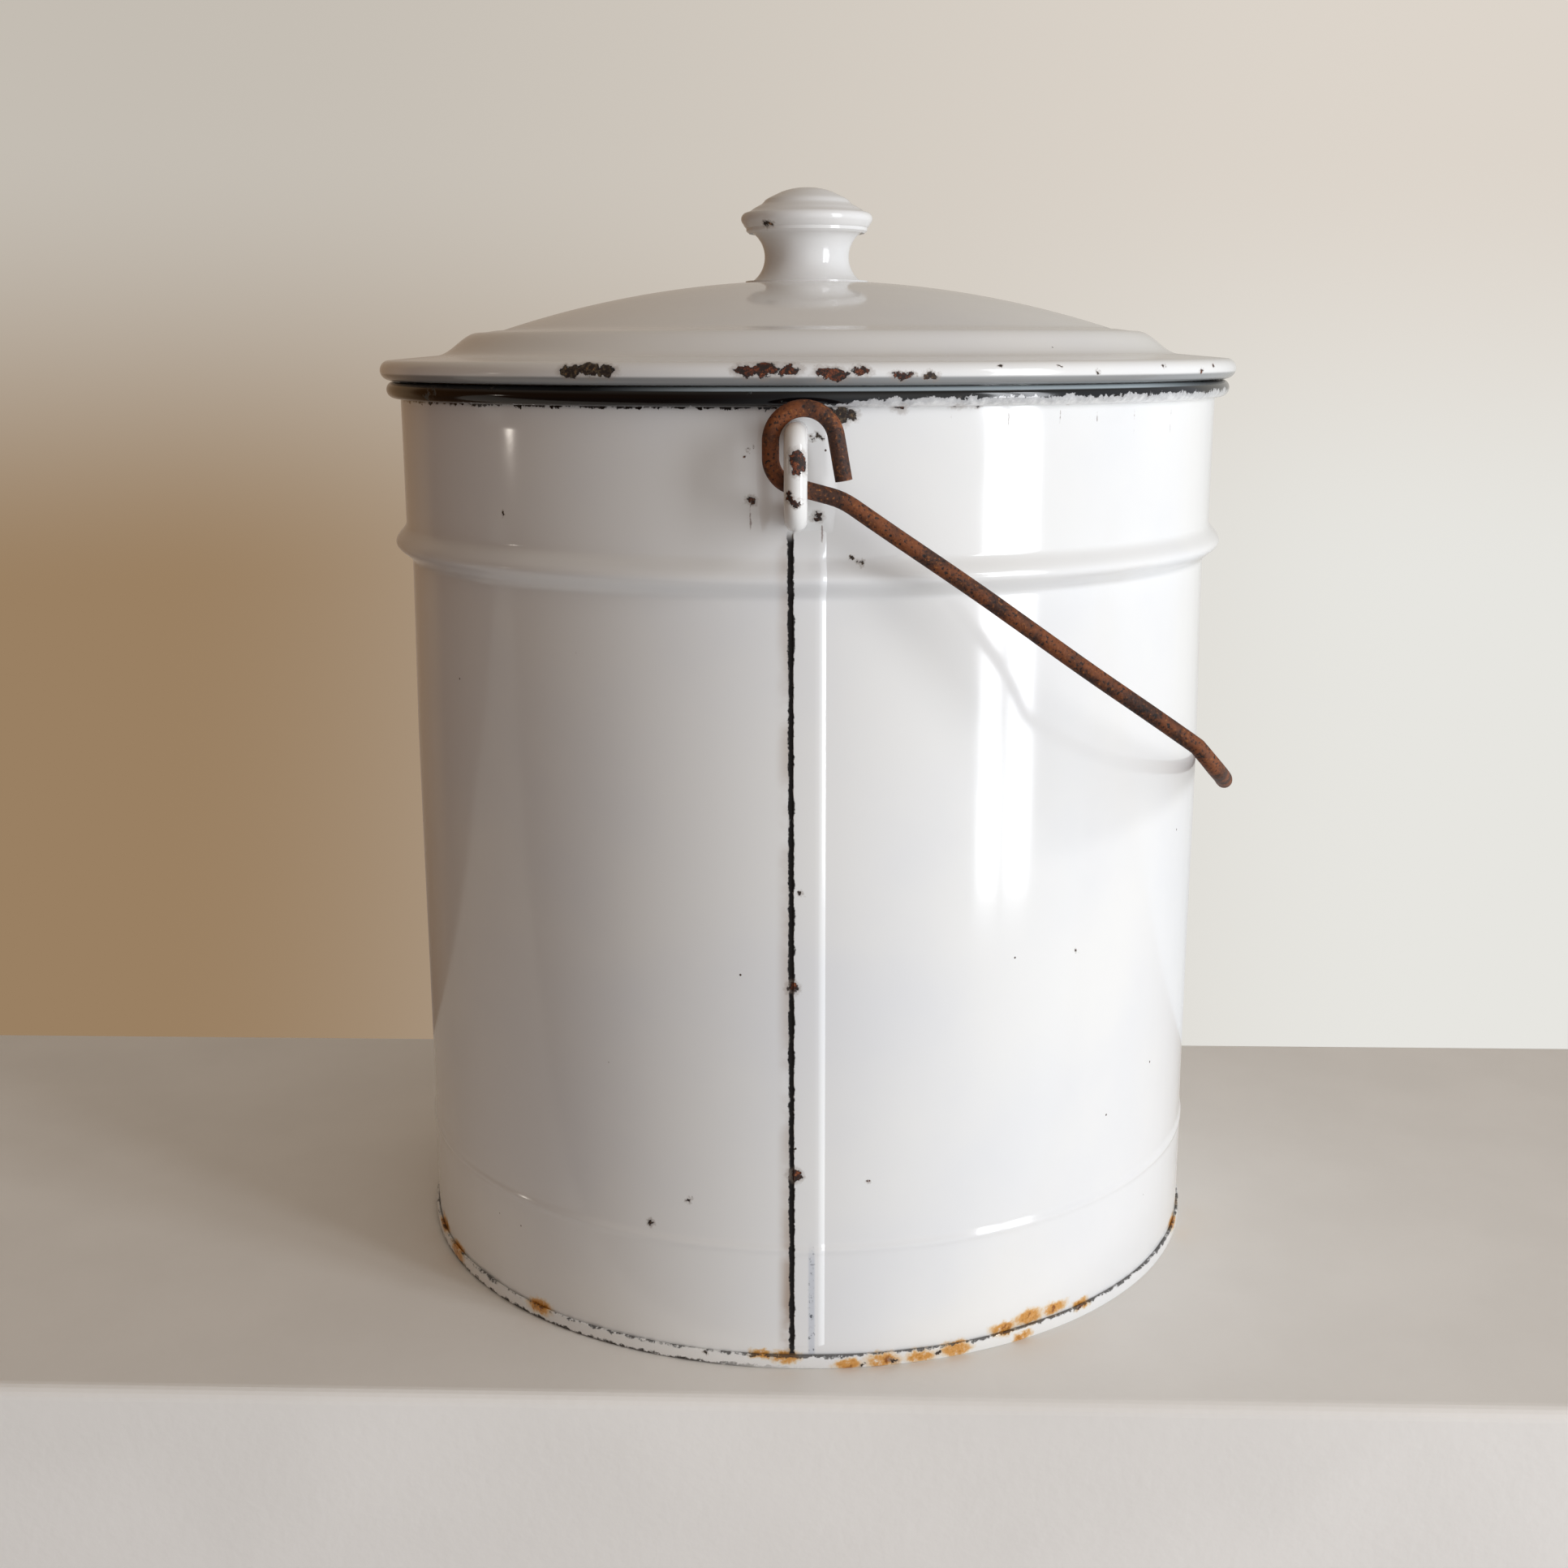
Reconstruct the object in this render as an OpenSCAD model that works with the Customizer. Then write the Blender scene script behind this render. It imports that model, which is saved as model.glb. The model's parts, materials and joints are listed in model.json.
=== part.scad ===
// Lidded enamel pail: a sheet-steel bucket with a rolled rim, a knobbed lid
// and a wire bail hooked into two staple ears. All sizes are in millimetres.
// The origin is on the pail's axis at the foot, +Z is up, the front ear faces -Y.

/* [Pail] */
// Height from the foot to the top of the rolled rim
pail_h = 288.7; // [230:0.1:360]
// Outer radius of the wall
wall_r = 133; // [105:0.5:165]
// Thickness of the enamelled sheet
sheet = 1; // [0.8:0.05:1.2]
// How much wider the wall is above the rib
upper_swell = 0.7; // [0:0.1:1.2]
// How much narrower the wall is just under the rib
waist = 1; // [0:0.1:1.5]
// Outer diameter of the rolled rim
rim_d = 5.4; // [4.8:0.1:7]
// Diameter of the wire inside the rolled rim
rim_wire_d = 3; // [2:0.1:3.2]

/* [Rib and foot] */
// Height of the stiffening rib
rib_h = 12.6; // [8:0.1:18]
// How far the rib stands out of the wall above it
rib_out = 3.5; // [1.5:0.1:4.5]
// Distance from the top of the rim to the middle of the rib
rib_drop = 51.3; // [48:0.1:70]
// Height of the swage line above the foot
swage_z = 38.6; // [15:0.1:60]
// Step of the wall at the swage line
swage_step = 0.3; // [0:0.05:0.6]
// Height of the folded seam round the foot
foot_seam_h = 4.3; // [3:0.1:7]
// Height of the floor's underside above the foot
floor_lift = 6; // [5:0.1:12]

/* [Side seam] */
// Width of the folded side seam
seam_w = 9.4; // [5:0.1:12]
// How far the side seam stands out of the wall
seam_out = 0.7; // [0.3:0.05:1]
// Sideways place of the seam's open edge
seam_x = -1.5; // [-4:0.1:2]

/* [Ears] */
// Diameter of the staple's bar
ear_d = 6.2; // [4:0.1:7]
// Distance between the staple's two legs
ear_pitch = 22.5; // [21:0.1:32]
// Distance from the top of the rim to the upper leg
ear_drop = 11.9; // [11:0.1:16]
// Bend radius of the staple, at the middle of the bar
ear_bend = 5; // [3.5:0.1:8]
// Width of the plate behind the staple
plate_w = 22; // [14:0.5:34]
// Diameter of the staple's riveted ends
ear_head_d = 9; // [7:0.1:10]

/* [Bail] */
// Diameter of the bail's wire
bail_d = 4.6; // [3.5:0.1:5.5]
// Inner radius of the end hooks
hook_in_r = 6.4; // [6.1:0.1:8]
// Angle of the arms under the horizontal when the bail rests on the wall
rest_angle = 34.6; // [25:0.1:40]
// Extra angle of the grip, which is bent down from the arms
grip_bend = 14; // [0:0.5:18]
// Length of the free end of the hook
free_l = 11.8; // [6:0.1:14]
// Length of the straight side of the hook
side_l = 4.2; // [0:0.1:6]
// Length of the straight lead from the hook to the arm
lead_l = 10.5; // [8:0.1:16]
// Radius of the bail's two corners, at the middle of the wire
corner_r = 12; // [8:0.5:40]
// Angle that each corner turns through
corner_turn = 65; // [55:1:80]

/* [Lid] */
// Diameter of the rolled edge
bead_d = 6.3; // [5.5:0.1:8]
// Diameter of the wire inside the rolled edge
bead_wire_d = 3.6; // [2.5:0.1:3.8]
// How far the lid stands out beyond the pail's rim
lid_over = 1.8; // [0.5:0.1:2]
// Width of the flange, from the middle of the rolled edge to the riser
flange_w = 14.6; // [10:0.1:18]
// Rise of the flange towards the middle
flange_rise = 1.3; // [0:0.1:3]
// Width of the riser
riser_w = 14; // [10:0.5:18]
// Height of the riser
riser_h = 7.2; // [4:0.1:8]
// Width of the flat shoulder between the riser and the dome
shoulder_w = 8; // [4:0.5:12]
// Radius of the dome's sphere
dome_r = 325; // [260:1:600]
// Depth of the collar that hangs inside the mouth
collar_h = 22; // [12:0.5:30]

/* [Knob] */
// Height of the knob over the crown of the lid
knob_h = 29.6; // [27.5:0.1:36]
// Largest radius of the knob's head
head_r = 21.6; // [20.5:0.1:26]
// Smallest radius of the knob's neck
neck_r = 13.9; // [12:0.1:15]
// Diameter of the rivet that holds the knob
rivet_d = 6; // [4:0.1:8]

/* [Fits] */
// Gap between pieces that are folded or riveted together
snug = 0.05; // [0.02:0.01:0.1]
// Gap between the lid and the rim, and between the bail and what it touches
rest_gap = 0.35; // [0.3:0.05:0.6]
// Gap between the bail's arms and the lid's edge
swing_gap = 0.9; // [0.5:0.1:2]

/* [Hidden] */
$fn = 96;

ENAMEL = "ghostwhite";
RUST = "#7a4a2c";
STEEL = "silver";

// Pail: levels and radii
upper_r = wall_r + upper_swell;
foot_r = wall_r + swage_step;
rim_z = pail_h - rim_d / 2;
rim_r = upper_r - sheet + rim_d / 2;
rim_out_r = rim_r + rim_d / 2;
rib_z = pail_h - rib_drop;
rib_bottom = rib_z - rib_h / 2;
waist_h = 56;
waist_end_z = rib_bottom - waist_h;
swage_h = 1.2;
foot_out_r = foot_r + snug + sheet;
foot_in_r = foot_r - sheet - snug;

// Ears
hook_r = hook_in_r + bail_d / 2;
leg_z = pail_h - ear_drop;
low_leg_z = leg_z - ear_pitch;
plate_gap = 0.8;
plate_margin = 3.5;
plate_top = rim_z - rim_d / 2 - plate_gap;
plate_h = plate_top - (low_leg_z - ear_d / 2 - plate_margin);
plate_r = upper_r + snug + sheet;
backing_r = upper_r - sheet - snug;
ear_head_t = 1.4;
ear_hole_d = ear_d + 2 * snug;

// Lid
bead_out_r = rim_out_r + lid_over;
bead_r = bead_out_r - bead_d / 2;
bead_z = rim_z + sqrt(pow((bead_d + rim_d) / 2 + rest_gap, 2) - pow(bead_r - rim_r, 2));
flange_in_r = bead_r - flange_w;
flange_z = bead_z + bead_d / 2 + flange_rise;
shoulder_r = flange_in_r - riser_w;
shoulder_z = flange_z + riser_h;
shoulder_slope = 0.1;
dome_edge_r = shoulder_r - shoulder_w;
dome_edge_z = shoulder_z + shoulder_w * shoulder_slope;
crown_z = dome_edge_z + dome_r - sqrt(dome_r * dome_r - dome_edge_r * dome_edge_r);

// Bail, in the hook's plane: the pivot is the centre of the hooks
bail_y = bead_out_r + bail_d / 2 + swing_gap;
bar_gap = 0.8;
elbow_collar_h = 2.4;
bar_y = bail_y + bail_d / 2 + bar_gap + ear_d / 2;
leg_reach = hook_in_r - rest_gap - ear_d / 2;
leg_side = 2 / 3 * leg_reach;
pivot_x = leg_side;
pivot_z = leg_z - sqrt(leg_reach * leg_reach - leg_side * leg_side);
hook_start = 10;
lead_angle = 15;
turn_r = 7.5;
sweep_r = 20;
lead_start = [-hook_r, -side_l] + turn_r * [1 - sin(lead_angle), -cos(lead_angle)];
arm_start = lead_start + lead_l * [cos(lead_angle), -sin(lead_angle)]
    + sweep_r * [sin(rest_angle) - sin(lead_angle), cos(rest_angle) - cos(lead_angle)];
grip_r = (bail_y - corner_r * (1 - cos(corner_turn))) / cos(corner_turn);
grip_reach = corner_r * sin(corner_turn) + grip_r * (1 - sin(corner_turn));
grip_angle = rest_angle + grip_bend;
arm_l = (wall_r + bail_d / 2 + rest_gap - pivot_x - arm_start[0]
    - grip_reach * cos(grip_angle)) / cos(rest_angle);
arm_end = arm_start + arm_l * [cos(rest_angle), -sin(rest_angle)];

// Knob
knob_foot_r = 18;
head_edge_r = 2.1;
head_edge_x = head_r - head_edge_r;
head_h = 10;
head_edge_z = crown_z + knob_h - head_h;
curve_r = 9.4;
waist_z = 7.6;
curve_z = crown_z + waist_z;
curve_x = neck_r + curve_r;
neck_drop = 2.7;
neck_top_z = head_edge_z - neck_drop;
lip_z = neck_top_z - 2 * sheet - snug;
cap_dome_r = 24.9;
cap_dome_edge = 14;
washer_t = 1.2;
washer_gap = 0.3;
washer_z = crown_z - sheet - washer_t - washer_gap;

// Outer radius of the wall at height z
function rib_bulge(z) =
    abs(z - rib_z) < rib_h / 2 ? (1 + cos(360 * (z - rib_z) / rib_h)) / 2 : 0;
function plain_r(z) =
    z > rib_z ? upper_r
    : z > waist_end_z ? wall_r - waist * (z - waist_end_z) / (rib_z - waist_end_z)
    : z > swage_z ? wall_r : foot_r;
function wall_at(z) = plain_r(z) + rib_bulge(z) * (upper_r + rib_out - plain_r(z));

// The wall's outline from the foot to the rim, with the rib as a smooth wave
rib_steps = 16;
wall_line = concat(
    [[foot_r, sheet + snug], [foot_r, swage_z - swage_h / 2], [wall_r, swage_z + swage_h / 2],
     [wall_r, waist_end_z]],
    [for (i = [0 : rib_steps]) let (z = rib_bottom + rib_h * i / rib_steps) [wall_at(z), z]],
    [[upper_r, rim_z]]
);

// The lid's outline from the rivet's hole to the rolled edge
dome_steps = 14;
riser_steps = 12;
function dome_at(r) = crown_z - dome_r + sqrt(dome_r * dome_r - r * r);
lid_line = concat(
    [for (i = [0 : dome_steps])
        let (r = rivet_d / 2 + snug + (dome_edge_r - rivet_d / 2 - snug) * i / dome_steps)
        [r, dome_at(r)]],
    [for (i = [0 : riser_steps])
        [shoulder_r + riser_w * i / riser_steps,
         shoulder_z - riser_h * (1 - cos(180 * i / riser_steps)) / 2]],
    [[bead_r, bead_z + bead_d / 2]]
);

function shifted(line, dr, dz) = [for (p = line) [p[0] + dr, p[1] + dz]];
// The underside of the knob's neck at radius r: a cone that touches the dome
function foot_line(r) = dome_at(knob_foot_r) + snug + (knob_foot_r - r) * knob_foot_r / dome_r;
function reversed(line) = [for (i = [len(line) - 1 : -1 : 0]) line[i]];

// A ring of round section about the pail's axis
module ring(r, z, d) {
    rotate_extrude() translate([r, z]) circle(d = d);
}

// A part of a ring about the pail's axis, w wide along the wall, middle at angle a
module band(r0, r1, z0, z1, w, a) {
    turn = w / r0 * 180 / PI;
    rotate([0, 0, a - turn / 2])
        rotate_extrude(angle = turn)
            translate([r0, z0]) square([r1 - r0, z1 - z0]);
}

// A short collar a hair wider than the wire, which joins two steps of a bent wire
module collar(d, h = 0.4) {
    rotate([0, 90, 0]) cylinder(h = h, d = d + 0.1, center = true);
}

// Round wire bent in the XY plane, from the origin along +X. Each step is
// [length, 0] for a straight or [radius, turn] for a bend, + to the left.
module bent_wire(steps, d, i = 0) {
    if (i < len(steps)) {
        if (i > 0) collar(d);
        size = steps[i][0];
        turn = steps[i][1];
        side = sign(turn);
        if (turn == 0) {
            rotate([0, 90, 0]) cylinder(h = size, d = d);
            translate([size, 0, 0]) bent_wire(steps, d, i + 1);
        } else {
            translate([0, side * size, 0]) {
                rotate([0, 0, side > 0 ? -90 : 90 + turn])
                    rotate_extrude(angle = abs(turn)) translate([size, 0]) circle(d = d);
                rotate([0, 0, turn]) translate([0, -side * size, 0])
                    bent_wire(steps, d, i + 1);
            }
        }
    }
}

// Holes for the legs of both staples, running along Y
module leg_holes(d) {
    for (z = [leg_z, low_leg_z])
        translate([0, 0, z])
            rotate([90, 0, 0])
                cylinder(h = 2 * bar_y, d = d, center = true);
}

module at_rear() {
    mirror([0, 1, 0]) children();
}

// ---- pail ----

// The wall with its rib, its swage line, its rolled rim and its folded side seam
module body_shell() {
    seam_turn = seam_w / wall_r * 180 / PI;
    seam_low = foot_seam_h + 0.6;
    seam_top = plate_top - plate_h - 0.5;
    seam_line = concat(
        [[wall_at(seam_low), seam_low]],
        [for (p = wall_line) if (p[1] > seam_low && p[1] < seam_top) p],
        [[wall_at(seam_top), seam_top]]
    );
    color(ENAMEL) difference() {
        union() {
            rotate_extrude()
                polygon(concat(wall_line, reversed(shifted(wall_line, -sheet, 0))));
            ring(rim_r, rim_z, rim_d);
            rotate([0, 0, -90 + seam_x / wall_r * 180 / PI])
                rotate_extrude(angle = seam_turn)
                    polygon(concat(
                        shifted(seam_line, seam_out, 0),
                        reversed(shifted(seam_line, -sheet / 2, 0))
                    ));
        }
        ring(rim_r, rim_z, rim_wire_d + 2 * snug);
        leg_holes(ear_hole_d);
    }
}

// The floor, with a skirt inside the wall and a lip folded up round the wall's edge
module base_pan() {
    color(ENAMEL) rotate_extrude() {
        translate([0, floor_lift]) square([foot_in_r, sheet]);
        translate([foot_in_r - sheet, 0]) square([sheet, floor_lift + sheet]);
        translate([foot_in_r - sheet, 0]) square([foot_out_r - foot_in_r + sheet, sheet]);
        translate([foot_out_r - sheet, 0]) square([sheet, foot_seam_h]);
    }
}

module rim_wire() {
    color(STEEL) ring(rim_r, rim_z, rim_wire_d);
}

// ---- ears ----

// A staple of round bar: two legs through the wall, riveted over inside
module staple() {
    // The heads' flat faces clear the hollow of the plate inside
    head_y = sqrt(pow(backing_r - sheet, 2) - pow(ear_head_d / 2, 2)) - snug;
    leg_l = bar_y - ear_bend - head_y;
    color(ENAMEL) translate([0, -head_y, low_leg_z]) {
        rotate([90, 0, -90])
            bent_wire([[leg_l, 0], [ear_bend, 90], [ear_pitch - 2 * ear_bend, 0],
                       [ear_bend, 90], [leg_l, 0]], ear_d);
        for (z = [0, ear_pitch])
            translate([0, ear_head_t, z]) rotate([90, 0, 0])
                cylinder(h = ear_head_t, d = ear_head_d);
    }
}

// The curved plate between the staple and the wall
module ear_plate() {
    color(ENAMEL) difference() {
        band(plate_r - sheet, plate_r, plate_top - plate_h, plate_top, plate_w, -90);
        leg_holes(ear_hole_d);
    }
}

// The curved plate inside the wall, under the riveted ends
module ear_backing() {
    color(ENAMEL) difference() {
        band(backing_r - sheet, backing_r, low_leg_z - ear_head_d / 2 - 2,
             leg_z + ear_head_d / 2 + 1, ear_head_d + 6, -90);
        leg_holes(ear_hole_d);
    }
}

module front_ear() { staple(); }
module rear_ear() { at_rear() staple(); }
module front_ear_plate() { ear_plate(); }
module rear_ear_plate() { at_rear() ear_plate(); }
module front_ear_backing() { ear_backing(); }
module rear_ear_backing() { at_rear() ear_backing(); }

// ---- bail ----

// The hook and the arm in front
module bail_side() {
    translate([0, -bail_y, 0]) rotate([90, 0, 0])
        translate([hook_r * cos(hook_start), hook_r * sin(hook_start), 0])
            rotate([0, 0, 90 + hook_start]) translate([-free_l, 0, 0])
                bent_wire([[free_l, 0], [hook_r, 180 - hook_start], [side_l, 0],
                           [turn_r, 90 - lead_angle], [lead_l, 0],
                           [sweep_r, lead_angle - rest_angle], [arm_l, 0]], bail_d);
}

// The grip between its two corners, in a plane that is bent down from the arms
module bail_grip() {
    translate([arm_end[0], 0, arm_end[1]]) rotate([0, grip_angle, 0])
        translate([0, -bail_y, 0]) {
            bent_wire([[corner_r, corner_turn], [grip_r, 180 - 2 * corner_turn],
                       [corner_r, corner_turn]], bail_d);
            for (y = [0, 2 * bail_y])
                translate([0, y, 0]) rotate([0, -grip_bend / 2, 0]) collar(bail_d, elbow_collar_h);
        }
}

module bail() {
    color(RUST) translate([pivot_x, 0, pivot_z]) {
        bail_side();
        bail_grip();
        at_rear() bail_side();
    }
}

// ---- lid ----

module lid_shell() {
    color(ENAMEL) difference() {
        union() {
            rotate_extrude() polygon(concat(lid_line, reversed(shifted(lid_line, 0, -sheet))));
            ring(bead_r, bead_z, bead_d);
        }
        ring(bead_r, bead_z, bead_wire_d + 2 * snug);
    }
}

module lid_rim_wire() {
    color(STEEL) ring(bead_r, bead_z, bead_wire_d);
}

// The collar that keeps the lid in the mouth, welded under the flange
module lid_collar() {
    collar_r = backing_r - sheet - ear_head_t - 1;
    foot = collar_r - 6;
    slope = flange_rise / flange_w;
    under = flange_z - sheet - snug;
    color(ENAMEL) rotate_extrude()
        polygon([
            [foot, under - (foot - flange_in_r) * slope],
            [collar_r, under - (collar_r - flange_in_r) * slope],
            [collar_r, under - collar_h],
            [collar_r - sheet, under - collar_h],
            [collar_r - sheet, under - sheet - (collar_r - flange_in_r) * slope],
            [foot, under - sheet - (foot - flange_in_r) * slope]
        ]);
}

// ---- knob ----

// The waisted neck: a drawn tube with a web at the bottom and a flange at the top
module knob_neck() {
    hole_r = rivet_d / 2 + snug;
    web_r = neck_r + 1;
    color(ENAMEL) rotate_extrude() {
        intersection() {
            translate([curve_x, curve_z]) difference() {
                circle(r = curve_r + sheet);
                circle(r = curve_r);
            }
            polygon([
                [neck_r - 2 * sheet, foot_line(neck_r - 2 * sheet)],
                [curve_x, foot_line(curve_x)],
                [curve_x, neck_top_z - sheet], [neck_r - 2 * sheet, neck_top_z - sheet]
            ]);
        }
        polygon([
            [hole_r, foot_line(hole_r)], [web_r + 2, foot_line(web_r + 2)],
            [web_r + 1, foot_line(web_r) + sheet], [hole_r, foot_line(hole_r) + sheet]
        ]);
        translate([head_edge_x - 2, neck_top_z - sheet])
            square([2 + 0.4 - snug, sheet]);
    }
}

// The head: a stepped dome with a rounded edge, turned in under the neck's flange
module knob_cap() {
    top_z = crown_z + knob_h;
    step_z = top_z - cap_dome_r + sqrt(pow(cap_dome_r, 2) - pow(cap_dome_edge, 2));
    lip_r = head_edge_x - 0.5;
    color(ENAMEL) difference() {
        union() {
            intersection() {
                translate([0, 0, top_z - cap_dome_r]) sphere(r = cap_dome_r);
                translate([0, 0, step_z - sheet / 2])
                    cylinder(h = cap_dome_r, r = cap_dome_edge);
            }
            rotate_extrude() polygon([
                [0, step_z], [cap_dome_edge, step_z],
                [head_edge_x + 0.8, head_edge_z + head_edge_r - 0.2],
                [head_edge_x + head_edge_r - 0.5, head_edge_z - 1.3],
                [head_edge_x + 0.3, lip_z], [0, lip_z]
            ]);
            ring(head_edge_x, head_edge_z, 2 * head_edge_r);
        }
        // Hollow of the head, with room for the neck's flange
        rotate_extrude() polygon([
            [0, step_z - sheet], [cap_dome_edge - 2, step_z - sheet],
            [head_edge_x - 0.4, head_edge_z + 0.5],
            [head_edge_x + 0.4, neck_top_z + snug],
            [head_edge_x + 0.4, neck_top_z - sheet - snug],
            [lip_r, neck_top_z - sheet - snug],
            [lip_r, lip_z - 1], [0, lip_z - 1]
        ]);
    }
}

// The rivet through the neck's web, the lid and the washer
module knob_rivet() {
    head_t = 2.2;
    tail_t = 1.6;
    head_z = foot_line(rivet_d / 2) + sheet + snug;
    tail_z = washer_z - snug;
    color(STEEL) {
        translate([0, 0, tail_z - tail_t / 2]) cylinder(h = head_z - tail_z + 1.5, d = rivet_d);
        translate([0, 0, head_z]) cylinder(h = head_t, d = rivet_d + 4.8);
        translate([0, 0, tail_z - tail_t]) cylinder(h = tail_t, d = rivet_d + 3.6);
    }
}

module knob_washer() {
    color(STEEL) rotate_extrude() translate([rivet_d / 2 + snug, washer_z])
        square([5, washer_t]);
}

body_shell();
base_pan();
rim_wire();
front_ear();
rear_ear();
front_ear_plate();
rear_ear_plate();
front_ear_backing();
rear_ear_backing();
bail();
lid_shell();
lid_rim_wire();
lid_collar();
knob_neck();
knob_cap();
knob_rivet();
knob_washer();
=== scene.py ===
# %% [markdown]
# # An old enamelled pail with a knobbed lid
#
# This lesson dresses a finished CAD model of a lidded pail. The real pail is pressed and
# folded from steel sheet about a millimetre thick, dipped in white glass enamel and fired.
# Its wire bail was never enamelled and has rusted. The CAD model fixes every size, so each
# cell below works its places out from the frame, and only adds what the eye is looking for:
# soft folded edges, glossy glass, chips that have rusted, and the wire's rough brown skin.

import math

import bmesh
import bpy
from mathutils import Matrix, Vector, noise
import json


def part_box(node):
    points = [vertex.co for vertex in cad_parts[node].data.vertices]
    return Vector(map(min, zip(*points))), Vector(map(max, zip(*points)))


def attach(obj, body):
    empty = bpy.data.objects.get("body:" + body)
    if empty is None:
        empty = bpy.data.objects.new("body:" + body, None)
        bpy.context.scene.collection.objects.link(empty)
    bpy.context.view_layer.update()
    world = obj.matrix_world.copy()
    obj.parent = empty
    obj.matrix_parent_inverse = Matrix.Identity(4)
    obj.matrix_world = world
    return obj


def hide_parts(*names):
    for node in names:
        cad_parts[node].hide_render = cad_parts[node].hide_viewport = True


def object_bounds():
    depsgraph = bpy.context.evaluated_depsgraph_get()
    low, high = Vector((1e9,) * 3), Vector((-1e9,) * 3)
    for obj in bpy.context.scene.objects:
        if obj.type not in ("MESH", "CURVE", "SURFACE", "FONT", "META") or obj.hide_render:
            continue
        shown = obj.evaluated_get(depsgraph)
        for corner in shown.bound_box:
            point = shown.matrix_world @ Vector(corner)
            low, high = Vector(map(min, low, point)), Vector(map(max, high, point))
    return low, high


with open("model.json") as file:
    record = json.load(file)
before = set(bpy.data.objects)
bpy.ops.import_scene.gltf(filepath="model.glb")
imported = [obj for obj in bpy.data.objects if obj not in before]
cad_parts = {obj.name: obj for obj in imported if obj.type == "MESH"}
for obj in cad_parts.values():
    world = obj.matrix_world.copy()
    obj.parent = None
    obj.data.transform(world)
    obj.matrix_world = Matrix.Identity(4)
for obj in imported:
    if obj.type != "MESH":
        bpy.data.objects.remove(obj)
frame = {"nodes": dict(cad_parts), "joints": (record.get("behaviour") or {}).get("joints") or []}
cad_low, cad_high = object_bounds()
print("frame:", len(frame["nodes"]), "nodes, box", tuple(cad_low), tuple(cad_high))

# %% [markdown]
# The outlines below are drawn in millimetres, as a sheet-metal worker would measure them,
# and turned to metres once, when a mesh is made. The driving sizes are read off the frame:
# the middle and radius of the rolled rim, of the lid's rolled edge and of the knob.

# %% Driving sizes, in millimetres
MM = 0.001
SHEET = 1.0


def corner(node, high):
    """The lowest or highest corner of a CAD node, in millimetres."""
    return Vector(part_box(node)[1 if high else 0]) / MM


PAIL_TOP = corner("body_shell", True).z
RIM_Z = (corner("rim_wire", True).z + corner("rim_wire", False).z) / 2
RIM_TUBE = PAIL_TOP - RIM_Z
RIM_R = corner("body_shell", True).x - RIM_TUBE
UPPER_R = RIM_R - RIM_TUBE + SHEET
WALL_R = UPPER_R - 0.7
FOOT_R = corner("base_pan", True).x
EDGE_Z = (corner("lid_rim_wire", True).z + corner("lid_rim_wire", False).z) / 2
EDGE_TUBE = EDGE_Z - corner("lid_shell", False).z
EDGE_R = corner("lid_shell", True).x - EDGE_TUBE
CROWN_Z = corner("lid_shell", True).z
KNOB_TOP = corner("knob_cap", True).z
HEAD_R = corner("knob_cap", True).x
print(f"rim {RIM_R:.2f} at {RIM_Z:.2f}, lid edge {EDGE_R:.2f} at {EDGE_Z:.2f}, crown {CROWN_Z:.2f}")

# %% [markdown]
# ## Two small tools
#
# Colours are picked as the hex codes that a paint chart uses, and one function turns them to
# the linear light that the renderer adds up. Another adds a shader or geometry node with its
# settings and its links, so that a material reads as a list of layers.


# %% Colours and nodes
def linear(code):
    """An sRGB hex colour as linear red, green, blue and alpha."""
    parts = [int(code[i:i + 2], 16) / 255 for i in (1, 3, 5)]
    return tuple(p / 12.92 if p <= 0.04045 else ((p + 0.055) / 1.055) ** 2.4 for p in parts) + (1.0,)


def add(tree, kind, ins=None, out=None, **settings):
    """Adds a node, sets it, feeds its inputs, and returns the output that is asked for."""
    made = tree.nodes.new(kind)
    for name, value in settings.items():
        setattr(made, name, value)
    for key, value in (ins or {}).items():
        if isinstance(key, int):
            socket = made.inputs[key]
        else:
            socket = next(s for s in made.inputs if s.name == key and s.enabled)
        if isinstance(value, bpy.types.NodeSocket):
            tree.links.new(value, socket)
        else:
            socket.default_value = value
    if out:
        return made.outputs[out]
    return next((s for s in made.outputs if s.enabled), made)


print("enamel white in linear light:", [round(c, 3) for c in linear("#EFEFED")])

# %% [markdown]
# ## Spun sheet and bent wire
#
# Nearly every piece here is either a sheet spun round the pail's axis or a round bar bent
# along a path. Both could be made vertex by vertex, but each follows one rule, so two
# Geometry Nodes trees make them. The first takes an outline (across is the radius, up is
# the height) and sweeps it round a circle. The second sweeps a small circle along a path.


# %% The two trees
def new_tree(name, sizes):
    """A geometry tree with named inputs for its sizes and its material."""
    tree = bpy.data.node_groups.new(name, "GeometryNodeTree")
    face = tree.interface
    face.new_socket("Geometry", in_out="INPUT", socket_type="NodeSocketGeometry")
    for label, kind in sizes.items():
        face.new_socket(label, in_out="INPUT", socket_type=kind)
    face.new_socket("Material", in_out="INPUT", socket_type="NodeSocketMaterial")
    face.new_socket("Geometry", in_out="OUTPUT", socket_type="NodeSocketGeometry")
    return tree, tree.nodes.new("NodeGroupInput").outputs


def close_tree(tree, mesh, given):
    """Ends a tree: welds what touches, makes it real and gives it its material."""
    welded = add(tree, "GeometryNodeMergeByDistance", {"Geometry": mesh, "Distance": 1e-6})
    smooth = add(tree, "GeometryNodeSetShadeSmooth", {"Geometry": welded})
    real = add(tree, "GeometryNodeRealizeInstances", {"Geometry": smooth})
    done = add(tree, "GeometryNodeSetMaterial", {"Geometry": real, "Material": given["Material"]})
    add(tree, "NodeGroupOutput", {"Geometry": done})


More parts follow.
